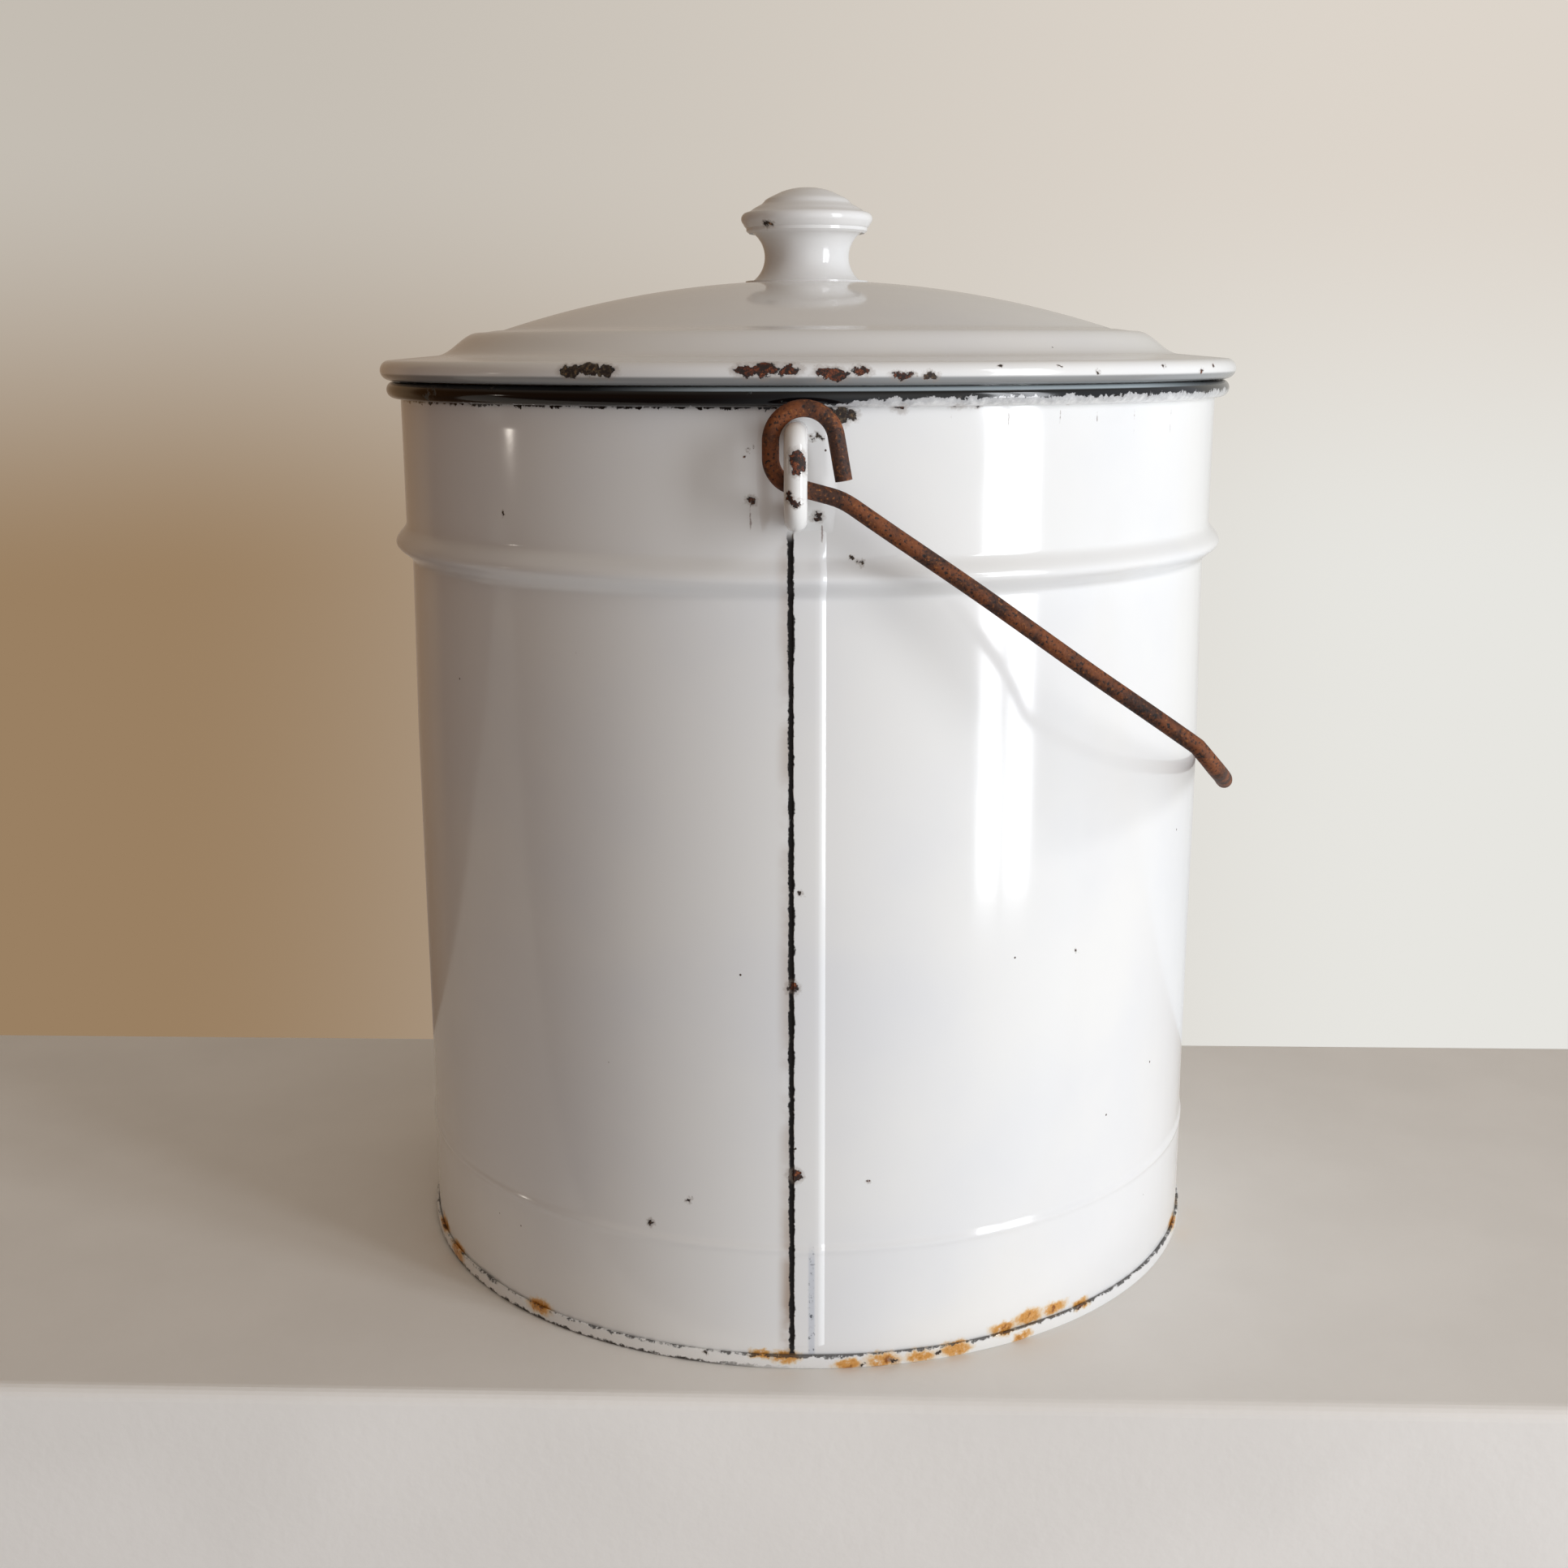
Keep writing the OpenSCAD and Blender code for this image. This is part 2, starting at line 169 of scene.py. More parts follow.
SPIN_R = 0.1
spun, given = new_tree("spun_sheet", {"Segments": "NodeSocketInt"})
outline = add(spun, "GeometryNodeMeshToCurve", {"Mesh": given["Geometry"]})
outline = add(spun, "GeometryNodeTransform", {"Geometry": outline, "Translation": (-SPIN_R, 0, 0)})
track = add(spun, "GeometryNodeCurvePrimitiveCircle",
            {"Resolution": given["Segments"], "Radius": SPIN_R})
sheet = add(spun, "GeometryNodeCurveToMesh", {"Curve": track, "Profile Curve": outline})
close_tree(spun, sheet, given)

bent, given = new_tree("bent_wire", {"Diameter": "NodeSocketFloat", "Sides": "NodeSocketInt"})
route = add(bent, "GeometryNodeMeshToCurve", {"Mesh": given["Geometry"]})
half = add(bent, "ShaderNodeMath", {0: given["Diameter"], 1: 0.5}, operation="MULTIPLY")
section = add(bent, "GeometryNodeCurvePrimitiveCircle",
              {"Resolution": given["Sides"], "Radius": half})
tube = add(bent, "GeometryNodeCurveToMesh",
           {"Curve": route, "Profile Curve": section, "Fill Caps": True})
close_tree(bent, tube, given)


def grown(name, tree, points, closed, material, sizes):
    """Runs a tree on a line of points, bakes the result and returns it as a plain mesh object."""
    line = bpy.data.meshes.new(name + "_line")
    last = len(points)
    links = [(i, (i + 1) % last) for i in range(last if closed else last - 1)]
    line.from_pydata([Vector(p) * MM for p in points], links, [])
    piece = bpy.data.objects.new(name, line)
    bpy.context.scene.collection.objects.link(piece)
    growth = piece.modifiers.new(tree.name, "NODES")
    growth.node_group = tree
    for item in tree.interface.items_tree:
        if item.in_out == "INPUT" and item.name in sizes:
            growth[item.identifier] = sizes[item.name]
        if item.in_out == "INPUT" and item.name == "Material":
            growth[item.identifier] = material
    graph = bpy.context.evaluated_depsgraph_get()
    mesh = bpy.data.meshes.new_from_object(piece.evaluated_get(graph))
    piece.modifiers.remove(growth)
    piece.data = mesh
    return piece


def settle(piece, sharp=35.0):
    """Welds a closed piece, turns its faces outward and keeps only its real creases sharp."""
    shape = bmesh.new()
    shape.from_mesh(piece.data)
    bmesh.ops.remove_doubles(shape, verts=shape.verts, dist=1e-6)
    bmesh.ops.dissolve_degenerate(shape, edges=shape.edges, dist=1e-7)
    bmesh.ops.recalc_face_normals(shape, faces=shape.faces)
    shape.to_mesh(piece.data)
    shape.free()
    piece.data.shade_smooth()
    piece.data.set_sharp_from_angle(angle=math.radians(sharp))
    return piece


def spin(name, points, material, segments):
    """A closed outline of (radius, height) points spun round the axis."""
    flipped = [(r, -z, 0) for r, z in points]
    piece = grown(name, spun, flipped, True, material, {"Segments": segments})
    return settle(piece)


def wire(name, points, diameter, material, sides):
    """A round bar bent along a path."""
    sizes = {"Diameter": diameter * MM, "Sides": sides}
    return settle(grown(name, bent, points, False, material, sizes), 60.0)


def arc(cx, cz, r, start, end, steps):
    """Points on a circle, from one angle to another, in degrees."""
    turns = [math.radians(start + (end - start) * i / steps) for i in range(steps + 1)]
    return [(cx + r * math.cos(t), cz + r * math.sin(t)) for t in turns]


def wear(piece, body, slot, *nodes):
    """Rides a piece on its body, hides the CAD nodes that it stands for and prints its size. Its slot is
    not used.
    """
    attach(piece, body)
    if nodes:
        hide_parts(*nodes)
    size = piece.dimensions / MM
    print(f"{piece.name}: {len(piece.data.polygons)} faces, {size.x:.1f} x {size.y:.1f} x {size.z:.1f} mm")


print("trees:", spun.name, "and", bent.name)

# %% [markdown]
# ## White vitreous enamel
#
# Vitreous enamel is glass powder melted on to steel. A dark ground coat grips the steel and
# two or three white coats hide it. It gives the eye a milky white with a clear glossy skin,
# so the shader is a plain dielectric with a low roughness and glass's IOR of 1.5, and the
# skin has the faint orange peel of melted glass. Where it is knocked the glass flies off in
# a shell shape: a dark ring of ground coat shows, and inside it the steel has rusted.
#
# Chips could be painted on an image, but then they would be lost in a small picture. Here
# each is a place on the wall (degrees round from the front, height, size). The shader finds
# the distance to the nearest one, bent by noise so that its edge is ragged.
#
# A finish is then a stack of coats. Each coat is one colour and a few fades that are
# multiplied to a mask, such as near a chip, and low on the wall, and where a noise is high.


# %% Where things are on the skin
def on_wall(angle, r):
    """The x and y of a place that is so many degrees round from the front, to the right."""
    turn = math.radians(angle)
    return r * math.sin(turn), -r * math.cos(turn)


def skin_place(tree, raggedness, grain):
    """Object coordinates in millimetres, and the same bent by noise of a given grain."""
    place = add(tree, "ShaderNodeTexCoord", out="Object")
    place = add(tree, "ShaderNodeVectorMath", {0: place, "Scale": 1 / MM}, operation="SCALE")
    blur = add(tree, "ShaderNodeTexNoise", {"Vector": place, "Scale": 1 / grain, "Detail": 6.0,
                                            "Roughness": 0.68}, out="Color")
    blur = add(tree, "ShaderNodeVectorMath", {0: blur, 1: (0.5, 0.5, 0.5)}, operation="SUBTRACT")
    blur = add(tree, "ShaderNodeVectorMath", {0: blur, "Scale": 2 * raggedness}, operation="SCALE")
    return place, add(tree, "ShaderNodeVectorMath", {0: place, 1: blur}, operation="ADD")


def nearest_mark(tree, place, marks, r, tall):
    """Distance to the nearest mark, in units of its size. Marks are tall times as high as wide."""
    stretch = (1.0, 1.0, 1.0 / tall)
    flat = add(tree, "ShaderNodeVectorMath", {0: place, 1: stretch}, operation="MULTIPLY")
    nearest = None
    for angle, height, size in marks:
        centre = (*on_wall(angle, r), height / tall)
        gap = add(tree, "ShaderNodeVectorMath", {0: flat, 1: centre}, out="Value",
                  operation="DISTANCE")
        gap = add(tree, "ShaderNodeMath", {0: gap, 1: 1 / size}, operation="MULTIPLY")
        if nearest is not None:
            gap = add(tree, "ShaderNodeMath", {0: gap, 1: nearest}, operation="MINIMUM")
        nearest = gap
    return nearest


def mask(tree, *fades):
    """Multiplies fades. Each is a mask, or (value, start, end): 0 at start, 1 at end, smooth."""
    whole = None
    for fade in fades:
        if isinstance(fade, tuple):
            value, start, end = fade
            fade = add(tree, "ShaderNodeMapRange",
                       {"Value": value, "From Min": start, "From Max": end}, out="Result",
                       interpolation_type="SMOOTHSTEP")
        if whole is not None:
            fade = add(tree, "ShaderNodeMath", {0: whole, 1: fade}, operation="MULTIPLY")
        whole = fade
    return whole


def coat(tree, below, paint, *fades):
    """Lays a paint over what is below, where the fades let it show. Either may be a hex code."""
    below, paint = (linear(c) if isinstance(c, str) else c for c in (below, paint))
    return add(tree, "ShaderNodeMix", {"Factor": mask(tree, *fades), "A": below, "B": paint},
               data_type="RGBA")


print("a chip at 90 degrees is at", [round(v, 1) for v in on_wall(90, WALL_R)])


# %% Pinholes, stains and cracks
def pinholes(tree, place, colour):
    """Dots where a bubble burst in the kiln, about one to a hand's breadth."""
    dot = add(tree, "ShaderNodeTexVoronoi", {"Vector": place, "Scale": 1 / 8})
    rare = add(tree, "ShaderNodeSeparateColor", {"Color": dot.node.outputs["Color"]}, out="Red")
    return coat(tree, colour, "#4A3A30", (dot, 0.055, 0.035), (rare, 0.90, 0.92))


def rust_stains(tree, place, ragged, colour, stains, r):
    """Rust that has run out over the white, in three strengths."""
    spread = nearest_mark(tree, ragged, stains, r, 0.42)
    patch = add(tree, "ShaderNodeTexNoise", {"Vector": place, "Scale": 1 / 3.4, "Detail": 6.0,
                                             "Roughness": 0.7})
    colour = coat(tree, colour, "#E3C79A", (spread, 1.5, 0.7), (patch, 0.25, 0.48))
    colour = coat(tree, colour, "#D69A4E", (spread, 1.1, 0.6), (patch, 0.30, 0.50))
    return coat(tree, colour, "#8C501F", (spread, 0.8, 0.3), (patch, 0.50, 0.62))


def hairline_cracks(tree, colour, cracks, r):
    """Upright hairlines, which have let a little rust out."""
    wavy = skin_place(tree, 0.7, 5.0)[1]
    line = nearest_mark(tree, wavy, cracks, r, 14.0)
    return coat(tree, colour, "#6E4A3C", (line, 1.4, 0.8), 0.65)


print("made the layers for pinholes, stains and cracks")


# %% Chips
def chipped(tree, place, ragged, colour, chips, r, tall):
    """A stained halo, a dark ring of ground coat, and rusted steel inside."""
    far = nearest_mark(tree, ragged, chips, r, tall)
    fleck = add(tree, "ShaderNodeTexNoise", {"Vector": place, "Scale": 1 / 1.1, "Detail": 5.0,
                                             "Roughness": 0.7})
    kind = add(tree, "ShaderNodeTexNoise", {"Vector": place, "Scale": 1 / 40, "Detail": 1.0})
    fresh = coat(tree, "#5D513E", "#7E3D1E", (kind, 0.47, 0.53))
    rust = coat(tree, "#2A1A15", fresh, (fleck, 0.42, 0.62))
    rust = coat(tree, rust, "#A8713E", (fleck, 0.60, 0.68))
    rust = coat(tree, rust, "#241812", (far, 0.75, 0.35), (fleck, 0.62, 0.5))
    colour = coat(tree, colour, "#A2968C", (far, 1.9, 1.05), 0.5)
    chip = mask(tree, (far, 1.04, 0.96))
    colour = coat(tree, colour, "#17191B", chip)
    return coat(tree, colour, rust, (far, 0.97, 0.78)), chip


print("made the layer for chips")


# %% The enamel itself
def enamel(name, chips=(), r=WALL_R, tall=1.0, stains=(), extra=None, warm=0.0, cracks=()):
    """White enamel with chips, cracks, rust stains and, from extra, one more layer of its own."""
    material = bpy.data.materials.new(name)
    material.use_nodes = True
    tree = material.node_tree
    skin = tree.nodes["Principled BSDF"]
    place, ragged = skin_place(tree, 2.5, 2.6)

    # The white varies a little, as it is thicker in places, and some pieces have yellowed.
    cloud = add(tree, "ShaderNodeTexNoise", {"Vector": place, "Scale": 1 / 70, "Detail": 4.0})
    colour = coat(tree, "#EFEFED", "#E9EAEB", (cloud, 0.35, 0.7))
    colour = coat(tree, colour, "#D9CDBD", warm)
    colour = pinholes(tree, place, colour)
    if stains:
        colour = rust_stains(tree, place, ragged, colour, stains, r)
    bare = None
    if extra:
        colour, bare = extra(tree, place, ragged, colour)
    if cracks:
        colour = hairline_cracks(tree, colour, cracks, r)
    if chips:
        colour, chip = chipped(tree, place, ragged, colour, chips, r, tall)
        if bare is not None:
            chip = add(tree, "ShaderNodeMath", {0: bare, 1: chip}, operation="MAXIMUM")
        bare = chip

    tree.links.new(colour, skin.inputs["Base Color"])
    skin.inputs["IOR"].default_value = 1.52

    # Glass is glossy, with hazy patches where it has been scoured. Bare steel is dull.
    haze = add(tree, "ShaderNodeTexNoise", {"Vector": place, "Scale": 1 / 25, "Detail": 6.0})
    rough = add(tree, "ShaderNodeMapRange", {"Value": haze, "To Min": 0.06, "To Max": 0.17},
                out="Result")
    peel = add(tree, "ShaderNodeTexNoise", {"Vector": place, "Scale": 1 / 5, "Detail": 2.0})
    bump = add(tree, "ShaderNodeBump", {"Height": peel, "Strength": 0.12, "Distance": 0.06 * MM})
    if bare is not None:
        rough = add(tree, "ShaderNodeMapRange",
                    {"Value": bare, "To Min": rough, "To Max": 0.75}, out="Result")
        depth = add(tree, "ShaderNodeMath", {0: 1.0, 1: bare}, operation="SUBTRACT")
        bump = add(tree, "ShaderNodeBump",
                   {"Height": depth, "Distance": 0.35 * MM, "Normal": bump})
    tree.links.new(rough, skin.inputs["Roughness"])
    tree.links.new(bump, skin.inputs["Normal"])
    print(name, "has", len(chips), "chips,", len(cracks), "cracks and", len(stains), "stains")
    return material


# %% [markdown]
# ## Bare and rusted steel
#
# The bail is drawn mild-steel wire that has rusted for years in a damp room. Rust is an
# oxide, not a metal, so the shader is a rough dielectric: dark brown where it is dense and
# handled, orange where it is fresh and powdery. Its crust has grains under a millimetre.
# The rivet and washer inside the lid were protected and are only dull.


# %% Rust and steel
def rusted_wire():
    """Brown rust in two ages, with a grainy crust."""
    material = bpy.data.materials.new("rusted_mild_steel_wire")
    material.use_nodes = True
    tree = material.node_tree
    skin = tree.nodes["Principled BSDF"]
    place, ragged = skin_place(tree, 1.2, 3.0)
    age = add(tree, "ShaderNodeTexNoise", {"Vector": ragged, "Scale": 1 / 7, "Detail": 6.0})
    grain = add(tree, "ShaderNodeTexNoise", {"Vector": place, "Scale": 1 / 0.8, "Detail": 5.0})
    colour = coat(tree, "#45281A", "#7C4420", (age, 0.38, 0.62))
    colour = coat(tree, colour, "#9C602C", (grain, 0.58, 0.74))
    colour = coat(tree, colour, "#1E1512", (grain, 0.46, 0.34))
    tree.links.new(colour, skin.inputs["Base Color"])
    skin.inputs["Roughness"].default_value = 0.72
    crust = add(tree, "ShaderNodeBump", {"Height": grain, "Distance": 0.25 * MM, "Strength": 0.8})
    pits = add(tree, "ShaderNodeBump", {"Height": age, "Distance": 0.5 * MM, "Normal": crust})
    tree.links.new(pits, skin.inputs["Normal"])
    return material


def dull_steel():
    """Plain steel that has lost its shine."""
    material = bpy.data.materials.new("dull_drawn_steel")
    material.use_nodes = True
    tree = material.node_tree
    skin = tree.nodes["Principled BSDF"]
    ragged = skin_place(tree, 0.5, 2.0)[1]
    spot = add(tree, "ShaderNodeTexNoise", {"Vector": ragged, "Scale": 1 / 3, "Detail": 4.0})
    colour = coat(tree, "#9A9A98", "#6B5242", (spot, 0.45, 0.7))
    tree.links.new(colour, skin.inputs["Base Color"])
    skin.inputs["Metallic"].default_value = 1.0
    skin.inputs["Roughness"].default_value = 0.45
    return material


RUST = rusted_wire()
STEEL = dull_steel()
print("made", RUST.name, "and", STEEL.name)

# %% [markdown]
# ## The pail's wall
#
# The wall is one strip of sheet rolled to a tube. A bead pressed outward near the top
# stiffens it, a shallow step near the foot seats the floor, and the top edge is curled over
# a wire. It is narrower just under the rib, where rolling the bead drew the sheet in.
#
# One outline of (radius, height) points holds all of it, outside going up and inside coming
# down, so that the mesh is a closed wall of real thickness. After it is spun, the sheet is
# pushed in and out by about a tenth of a millimetre of smooth noise. That is too little to
# see in the outline, but it makes the reflections wander as they do in real sheet.

# %% The wall's outline
RIB_Z = PAIL_TOP - 51.3
RIB_H = 12.6
RIB_OUT = 3.5
SWAGE_Z = 38.6
SWAGE_SOFT = 1.2
SWAGE_STEP = 0.3
SWAGE_RIDGE = 0.5
WALL_FOOT = 1.1
FINE = 0.5
COARSE = 6.0
WAIST = 1.0
WAIST_END = RIB_Z - RIB_H / 2 - 56


def wall_r(z):
    """Outer radius of the wall at a height."""
    if z > RIB_Z:
        plain = UPPER_R
    elif z > WAIST_END:
        plain = WALL_R - WAIST * (z - WAIST_END) / (RIB_Z - WAIST_END)
    else:
        step = min(1.0, max(0.0, (SWAGE_Z + SWAGE_SOFT - z) / (2 * SWAGE_SOFT)))
        ridge = math.exp(-((z - SWAGE_Z) / SWAGE_SOFT) ** 2)
        plain = WALL_R + SWAGE_STEP * step * step * (3 - 2 * step) + SWAGE_RIDGE * ridge
    if abs(z - RIB_Z) < RIB_H / 2:
        wave = (1 + math.cos(2 * math.pi * (z - RIB_Z) / RIB_H)) / 2
        plain += wave * (UPPER_R + RIB_OUT - plain)
    return plain


def heights():
    """Heights for the wall's rings: far apart where it is plain, close together where it curves."""
    marks = [WALL_FOOT, SWAGE_Z - 5, SWAGE_Z + 5,
             RIB_Z - RIB_H / 2 - 1, RIB_Z + RIB_H / 2 + 1, RIM_Z - 3.4]
    rings = []
    for i, (low, high) in enumerate(zip(marks, marks[1:])):
        count = round((high - low) / (FINE if i % 2 else COARSE))
        rings += [low + (high - low) * k / count for k in range(count)]
    return rings


outer = [(wall_r(z), z) for z in heights()]
low_turn = -math.degrees(math.acos((UPPER_R - RIM_R) / RIM_TUBE))
roll = arc(RIM_R, RIM_Z, RIM_TUBE, low_turn + 8, 180, 26)
inner = [(r - SHEET, z) for r, z in reversed(outer)]
wall_outline = outer + [(UPPER_R, RIM_Z - 2.9), (UPPER_R + 0.15, RIM_Z - 2.5)] + roll + inner
print("wall outline:", len(wall_outline), "points")

# %% [markdown]
# The rim was dipped in black enamel after the white, which is the usual trim on such pails.
# The dip line is ragged. To the left it runs under the roll. To the right the black has worn
# back to a thin band from below. Along the top of the roll on the right a pale blue-grey band is
# a painted reflection of the sky in the glossy black, and under the dip line the lower half of
# the roll is greyed with painted shade.
# The side seam is a lock seam: the strip's ends are hooked together and flattened, and the
# enamel never quite covered the open edge, so a dark line runs down it. Both are layers for
# the wall's enamel.

# %% The black rim and the dark seam line
SEAM_X = -1.5
SEAM_W = 9.4
SEAM_TOP = RIM_Z - RIM_TUBE - 32.2


def rim_trim_and_painted_light(tree, place, ragged, colour):
    """The black trim on the rolled rim, with its ragged dip line and its worn places, painted shade under
    the roll and a painted reflection along its top.
    """
    across = add(tree, "ShaderNodeSeparateXYZ", {0: place}, out="X")
    height = across.node.outputs["Z"]
    torn = add(tree, "ShaderNodeSeparateXYZ", {0: ragged}, out="Z")
    dip = add(tree, "ShaderNodeMapRange", {"Value": mask(tree, (across, -6.0, 30.0)),
                                           "To Min": RIM_Z - 3.1, "To Max": RIM_Z - 0.3}, out="Result")
    drift = add(tree, "ShaderNodeTexNoise", {"Vector": place, "Scale": 1 / 7, "Detail": 6.0,
                                             "Roughness": 0.8})
    drift = add(tree, "ShaderNodeMapRange", {"Value": drift, "To Min": -0.9, "To Max": 0.9},
                out="Result")
    above = add(tree, "ShaderNodeMath", {0: torn, 1: dip}, operation="SUBTRACT")
    above = add(tree, "ShaderNodeMath", {0: above, 1: drift}, operation="SUBTRACT")
    black = mask(tree, (above, -0.12, 0.12))
    patch = add(tree, "ShaderNodeTexNoise", {"Vector": place, "Scale": 1 / 9, "Detail": 6.0,
                                             "Roughness": 0.7})
    worn = mask(tree, black, (patch, 0.64, 0.67), (across, 20.0, -20.0))
    # Painted shade: a grey laid on the lower half of the roll, under the dip line, where the roll turns
    # down into the wall.
    colour = coat(tree, colour, "#86868A", (above, -2.6, -0.1), (height, RIM_Z - 4, RIM_Z - 2.5), 0.6)
    colour = coat(tree, colour, "#090B0E", black)
    # Painted reflection: a pale blue-grey band along the top of the roll on the right, for the sky
    # mirrored in the glossy black.
    colour = coat(tree, colour, "#AAB5BA", (across, -62.0, -12.0), (across, 128.0, 92.0),
                  (height, RIM_Z + 1.3, RIM_Z + 1.7))
    return coat(tree, colour, "#5E605F", worn, 0.7), worn


def open_seam(tree, place, colour):
    """The seam's dark open edge, the brown halo beside it and its fold, scuffed near the foot."""
    across = add(tree, "ShaderNodeSeparateXYZ", {0: place}, out="X")
    height = across.node.outputs["Z"]
    front = mask(tree, (height, 3.6, 5.0), (height, SEAM_TOP, SEAM_TOP - 4),
                 (across.node.outputs["Y"], -100.0, -120.0))
    width = add(tree, "ShaderNodeTexNoise", {"Vector": place, "Scale": 1 / 5, "Detail": 6.0,
                                             "Roughness": 0.85})
    width = add(tree, "ShaderNodeMapRange", {"Value": width, "From Min": 0.3, "From Max": 0.7,
                                             "To Min": 0.2, "To Max": 1.35}, out="Result")
    beside = add(tree, "ShaderNodeMath", {0: across, 1: SEAM_X - 0.25}, operation="SUBTRACT")
    off = add(tree, "ShaderNodeMath", {0: beside}, operation="ABSOLUTE")
    inside = add(tree, "ShaderNodeMath", {0: width, 1: off}, operation="SUBTRACT")
    line = mask(tree, (inside, -0.12, 0.12), front)
    streak = add(tree, "ShaderNodeTexNoise", {"Vector": place, "Scale": 1 / 14, "Detail": 4.0})
    low = add(tree, "ShaderNodeMapRange", {"Value": height, "From Min": 60.0, "From Max": 5.0,
                                           "To Min": 0.35, "To Max": 0.9}, out="Result")
    fold = add(tree, "ShaderNodeMath", {0: across, 1: SEAM_X + 5.6}, operation="SUBTRACT")
    fold = add(tree, "ShaderNodeMath", {0: fold}, operation="ABSOLUTE")
    scuff = mask(tree, (fold, 1.3, 0.5), (height, 42.0, 34.0), front)
    grit = add(tree, "ShaderNodeTexNoise", {"Vector": place, "Scale": 1 / 1.6, "Detail": 5.0,
                                            "Roughness": 0.8})
    colour = coat(tree, colour, "#9A7B5C", (off, 5.0, 1.0), front, (beside, 1.0, -0.5), low,
                  (streak, 0.3, 0.6))
    colour = coat(tree, colour, "#B4BCCB", scuff, 0.5)
    colour = coat(tree, colour, "#4A4E58", scuff, (grit, 0.56, 0.62))
    return coat(tree, colour, "#141111", line), line


def rim_and_seam(tree, place, ragged, colour):
    """Adds both, and tells where the glass is gone."""
    colour, worn = rim_trim_and_painted_light(tree, place, ragged, colour)
    colour, line = open_seam(tree, place, colour)
    return colour, add(tree, "ShaderNodeMath", {0: line, 1: worn}, operation="MAXIMUM")


print(f"seam from {SEAM_X:.1f} to {SEAM_X + SEAM_W:.1f}, up to {SEAM_TOP:.1f}")

# %% Marks on the wall: degrees round from the front, height and size
WALL_CHIPS = [
    (-5.4, 258.5, 1.1), (2.3, 254.4, 1.3), (1.7, 275.4, 0.8), (2.2, 275.5, 0.8), (2.7, 275.5, 0.7),
    (3.7, 281.6, 1.7), (5.0, 281.4, 2.3), (6.4, 281.2, 1.4), (7.3, 241.5, 0.9), (8.2, 239.4, 0.7),
    (6.4, 243.0, 0.6), (0.4, 148.4, 0.8), (-0.6, 120.4, 1.6), (-0.4, 62.3, 1.8), (-29.0, 214.3, 0.7),
    (-39.7, 252.5, 0.7), (-19.4, 42.8, 1.1), (-14.2, 51.8, 0.9), (8.9, 59.3, 0.7),
    (13.9, 204.0, 0.8), (38.5, 122.4, 0.7), (-4.9, 273.2, 0.5), (-5.6, 272.0, 0.5), (-6.2, 270.4, 0.5),
    (18.7, 285.3, 2.1), (20.0, 285.5, 1.8), (21.3, 285.1, 1.5), (11.7, 284.2, 1.9), (34.0, 285.0, 1.1),
    (-52.0, 286.0, 2.2), (86.0, 284.6, 2.4), (128.0, 286.5, 3.0), (131.5, 285.4, 2.2),
    (196.0, 284.2, 2.6), (238.0, 286.0, 2.2), (150.0, 92.0, 1.6), (213.0, 178.0, 1.1),
    (174.5, 256.0, 1.8), (186.0, 240.5, 1.3),
]
WALL_CRACKS = [
    (11.4, 279.8, 0.23), (18.1, 281.0, 0.19), (18.8, 279.4, 0.20), (23.8, 280.8, 0.17),
    (25.4, 280.2, 0.20), (32.7, 280.6, 0.22), (37.4, 278.2, 0.22), (38.7, 280.4, 0.23),
    (40.6, 278.2, 0.20), (45.6, 277.6, 0.25), (54.2, 278.0, 0.23), (-5.4, 255.0, 0.29),
    (2.9, 250.5, 0.23), (1.6, 237.0, 0.22), (88.0, 279.0, 0.25), (125.0, 280.0, 0.23),
    (171.0, 279.0, 0.26), (176.0, 280.5, 0.20), (222.0, 279.5, 0.23), (258.0, 280.0, 0.22),
]
FOOT_STAINS = [
    (6.3, 1.6, 4.2), (11.0, 1.8, 5.2), (16.0, 2.0, 4.6), (20.8, 2.4, 5.0), (28.0, 5.4, 4.6),
    (32.0, 6.6, 5.6), (36.6, 6.8, 4.8), (41.5, 4.4, 3.6), (31.0, 1.4, 3.4), (72.0, 4.5, 5.5),
    (79.0, 6.5, 5.0), (-1.6, 3.8, 4.4), (-4.8, 4.4, 3.2), (-38.0, 4.0, 5.0), (-60.0, 3.0, 6.0),
    (-68.0, 5.0, 6.0), (118.0, 4.0, 7.0), (165.0, 3.0, 6.0), (205.0, 5.0, 7.5), (246.0, 3.0, 6.0),
    (300.5, 1.0, 5.0),
]
WALL_ENAMEL = enamel("white_enamel_wall", WALL_CHIPS, WALL_R + 1.0, 1.0, FOOT_STAINS, rim_and_seam,
                     cracks=WALL_CRACKS)


# %% Spin the wall and loosen it
RIPPLE = 0.16
RIPPLE_SPAN = 55.0


def ripple(piece):
    """Pushes a skin in and out by smooth noise, so that its reflections wander."""
    for spot in piece.data.vertices:
        out = Vector((spot.co.x, spot.co.y, 0.0)).normalized()
        spot.co += out * noise.noise(spot.co / (RIPPLE_SPAN * MM)) * RIPPLE * MM


pail_wall = spin("pail_wall", wall_outline, WALL_ENAMEL, 512)
ripple(pail_wall)
wear(pail_wall, "pail", "white_enamel", "body_shell")

# %% [markdown]
# ## The side seam and the folded foot
#
# The flattened lock seam stands about 0.7 mm proud, four layers thick, with a crisp open
# edge on one side and a soft fold on the other. A strip of mesh follows the wall's own
# outline so that the seam climbs over the swage and stops at the ear. The floor is a
# separate pan. Its edge is folded up round the foot of the wall, and that fold is never
# quite even, so its top edge is given a slow wave.


# %% Side seam
SEAM_OUT = 0.75
SEAM_COLUMNS = [0.0, 0.02, 0.05, 0.1, 0.25, 0.45, 0.65, 0.78, 0.84, 0.9, 0.95, 0.98, 1.0]


def seam_lift(across):
    """How far the seam stands out, from its open edge (0) to its folded edge (1)."""
    rise = min(1.0, across / 0.05)
    fall = min(1.0, (1 - across) / 0.22)
    return SEAM_OUT * rise * math.sin(fall * math.pi / 2) - 0.25 * (1 - rise)


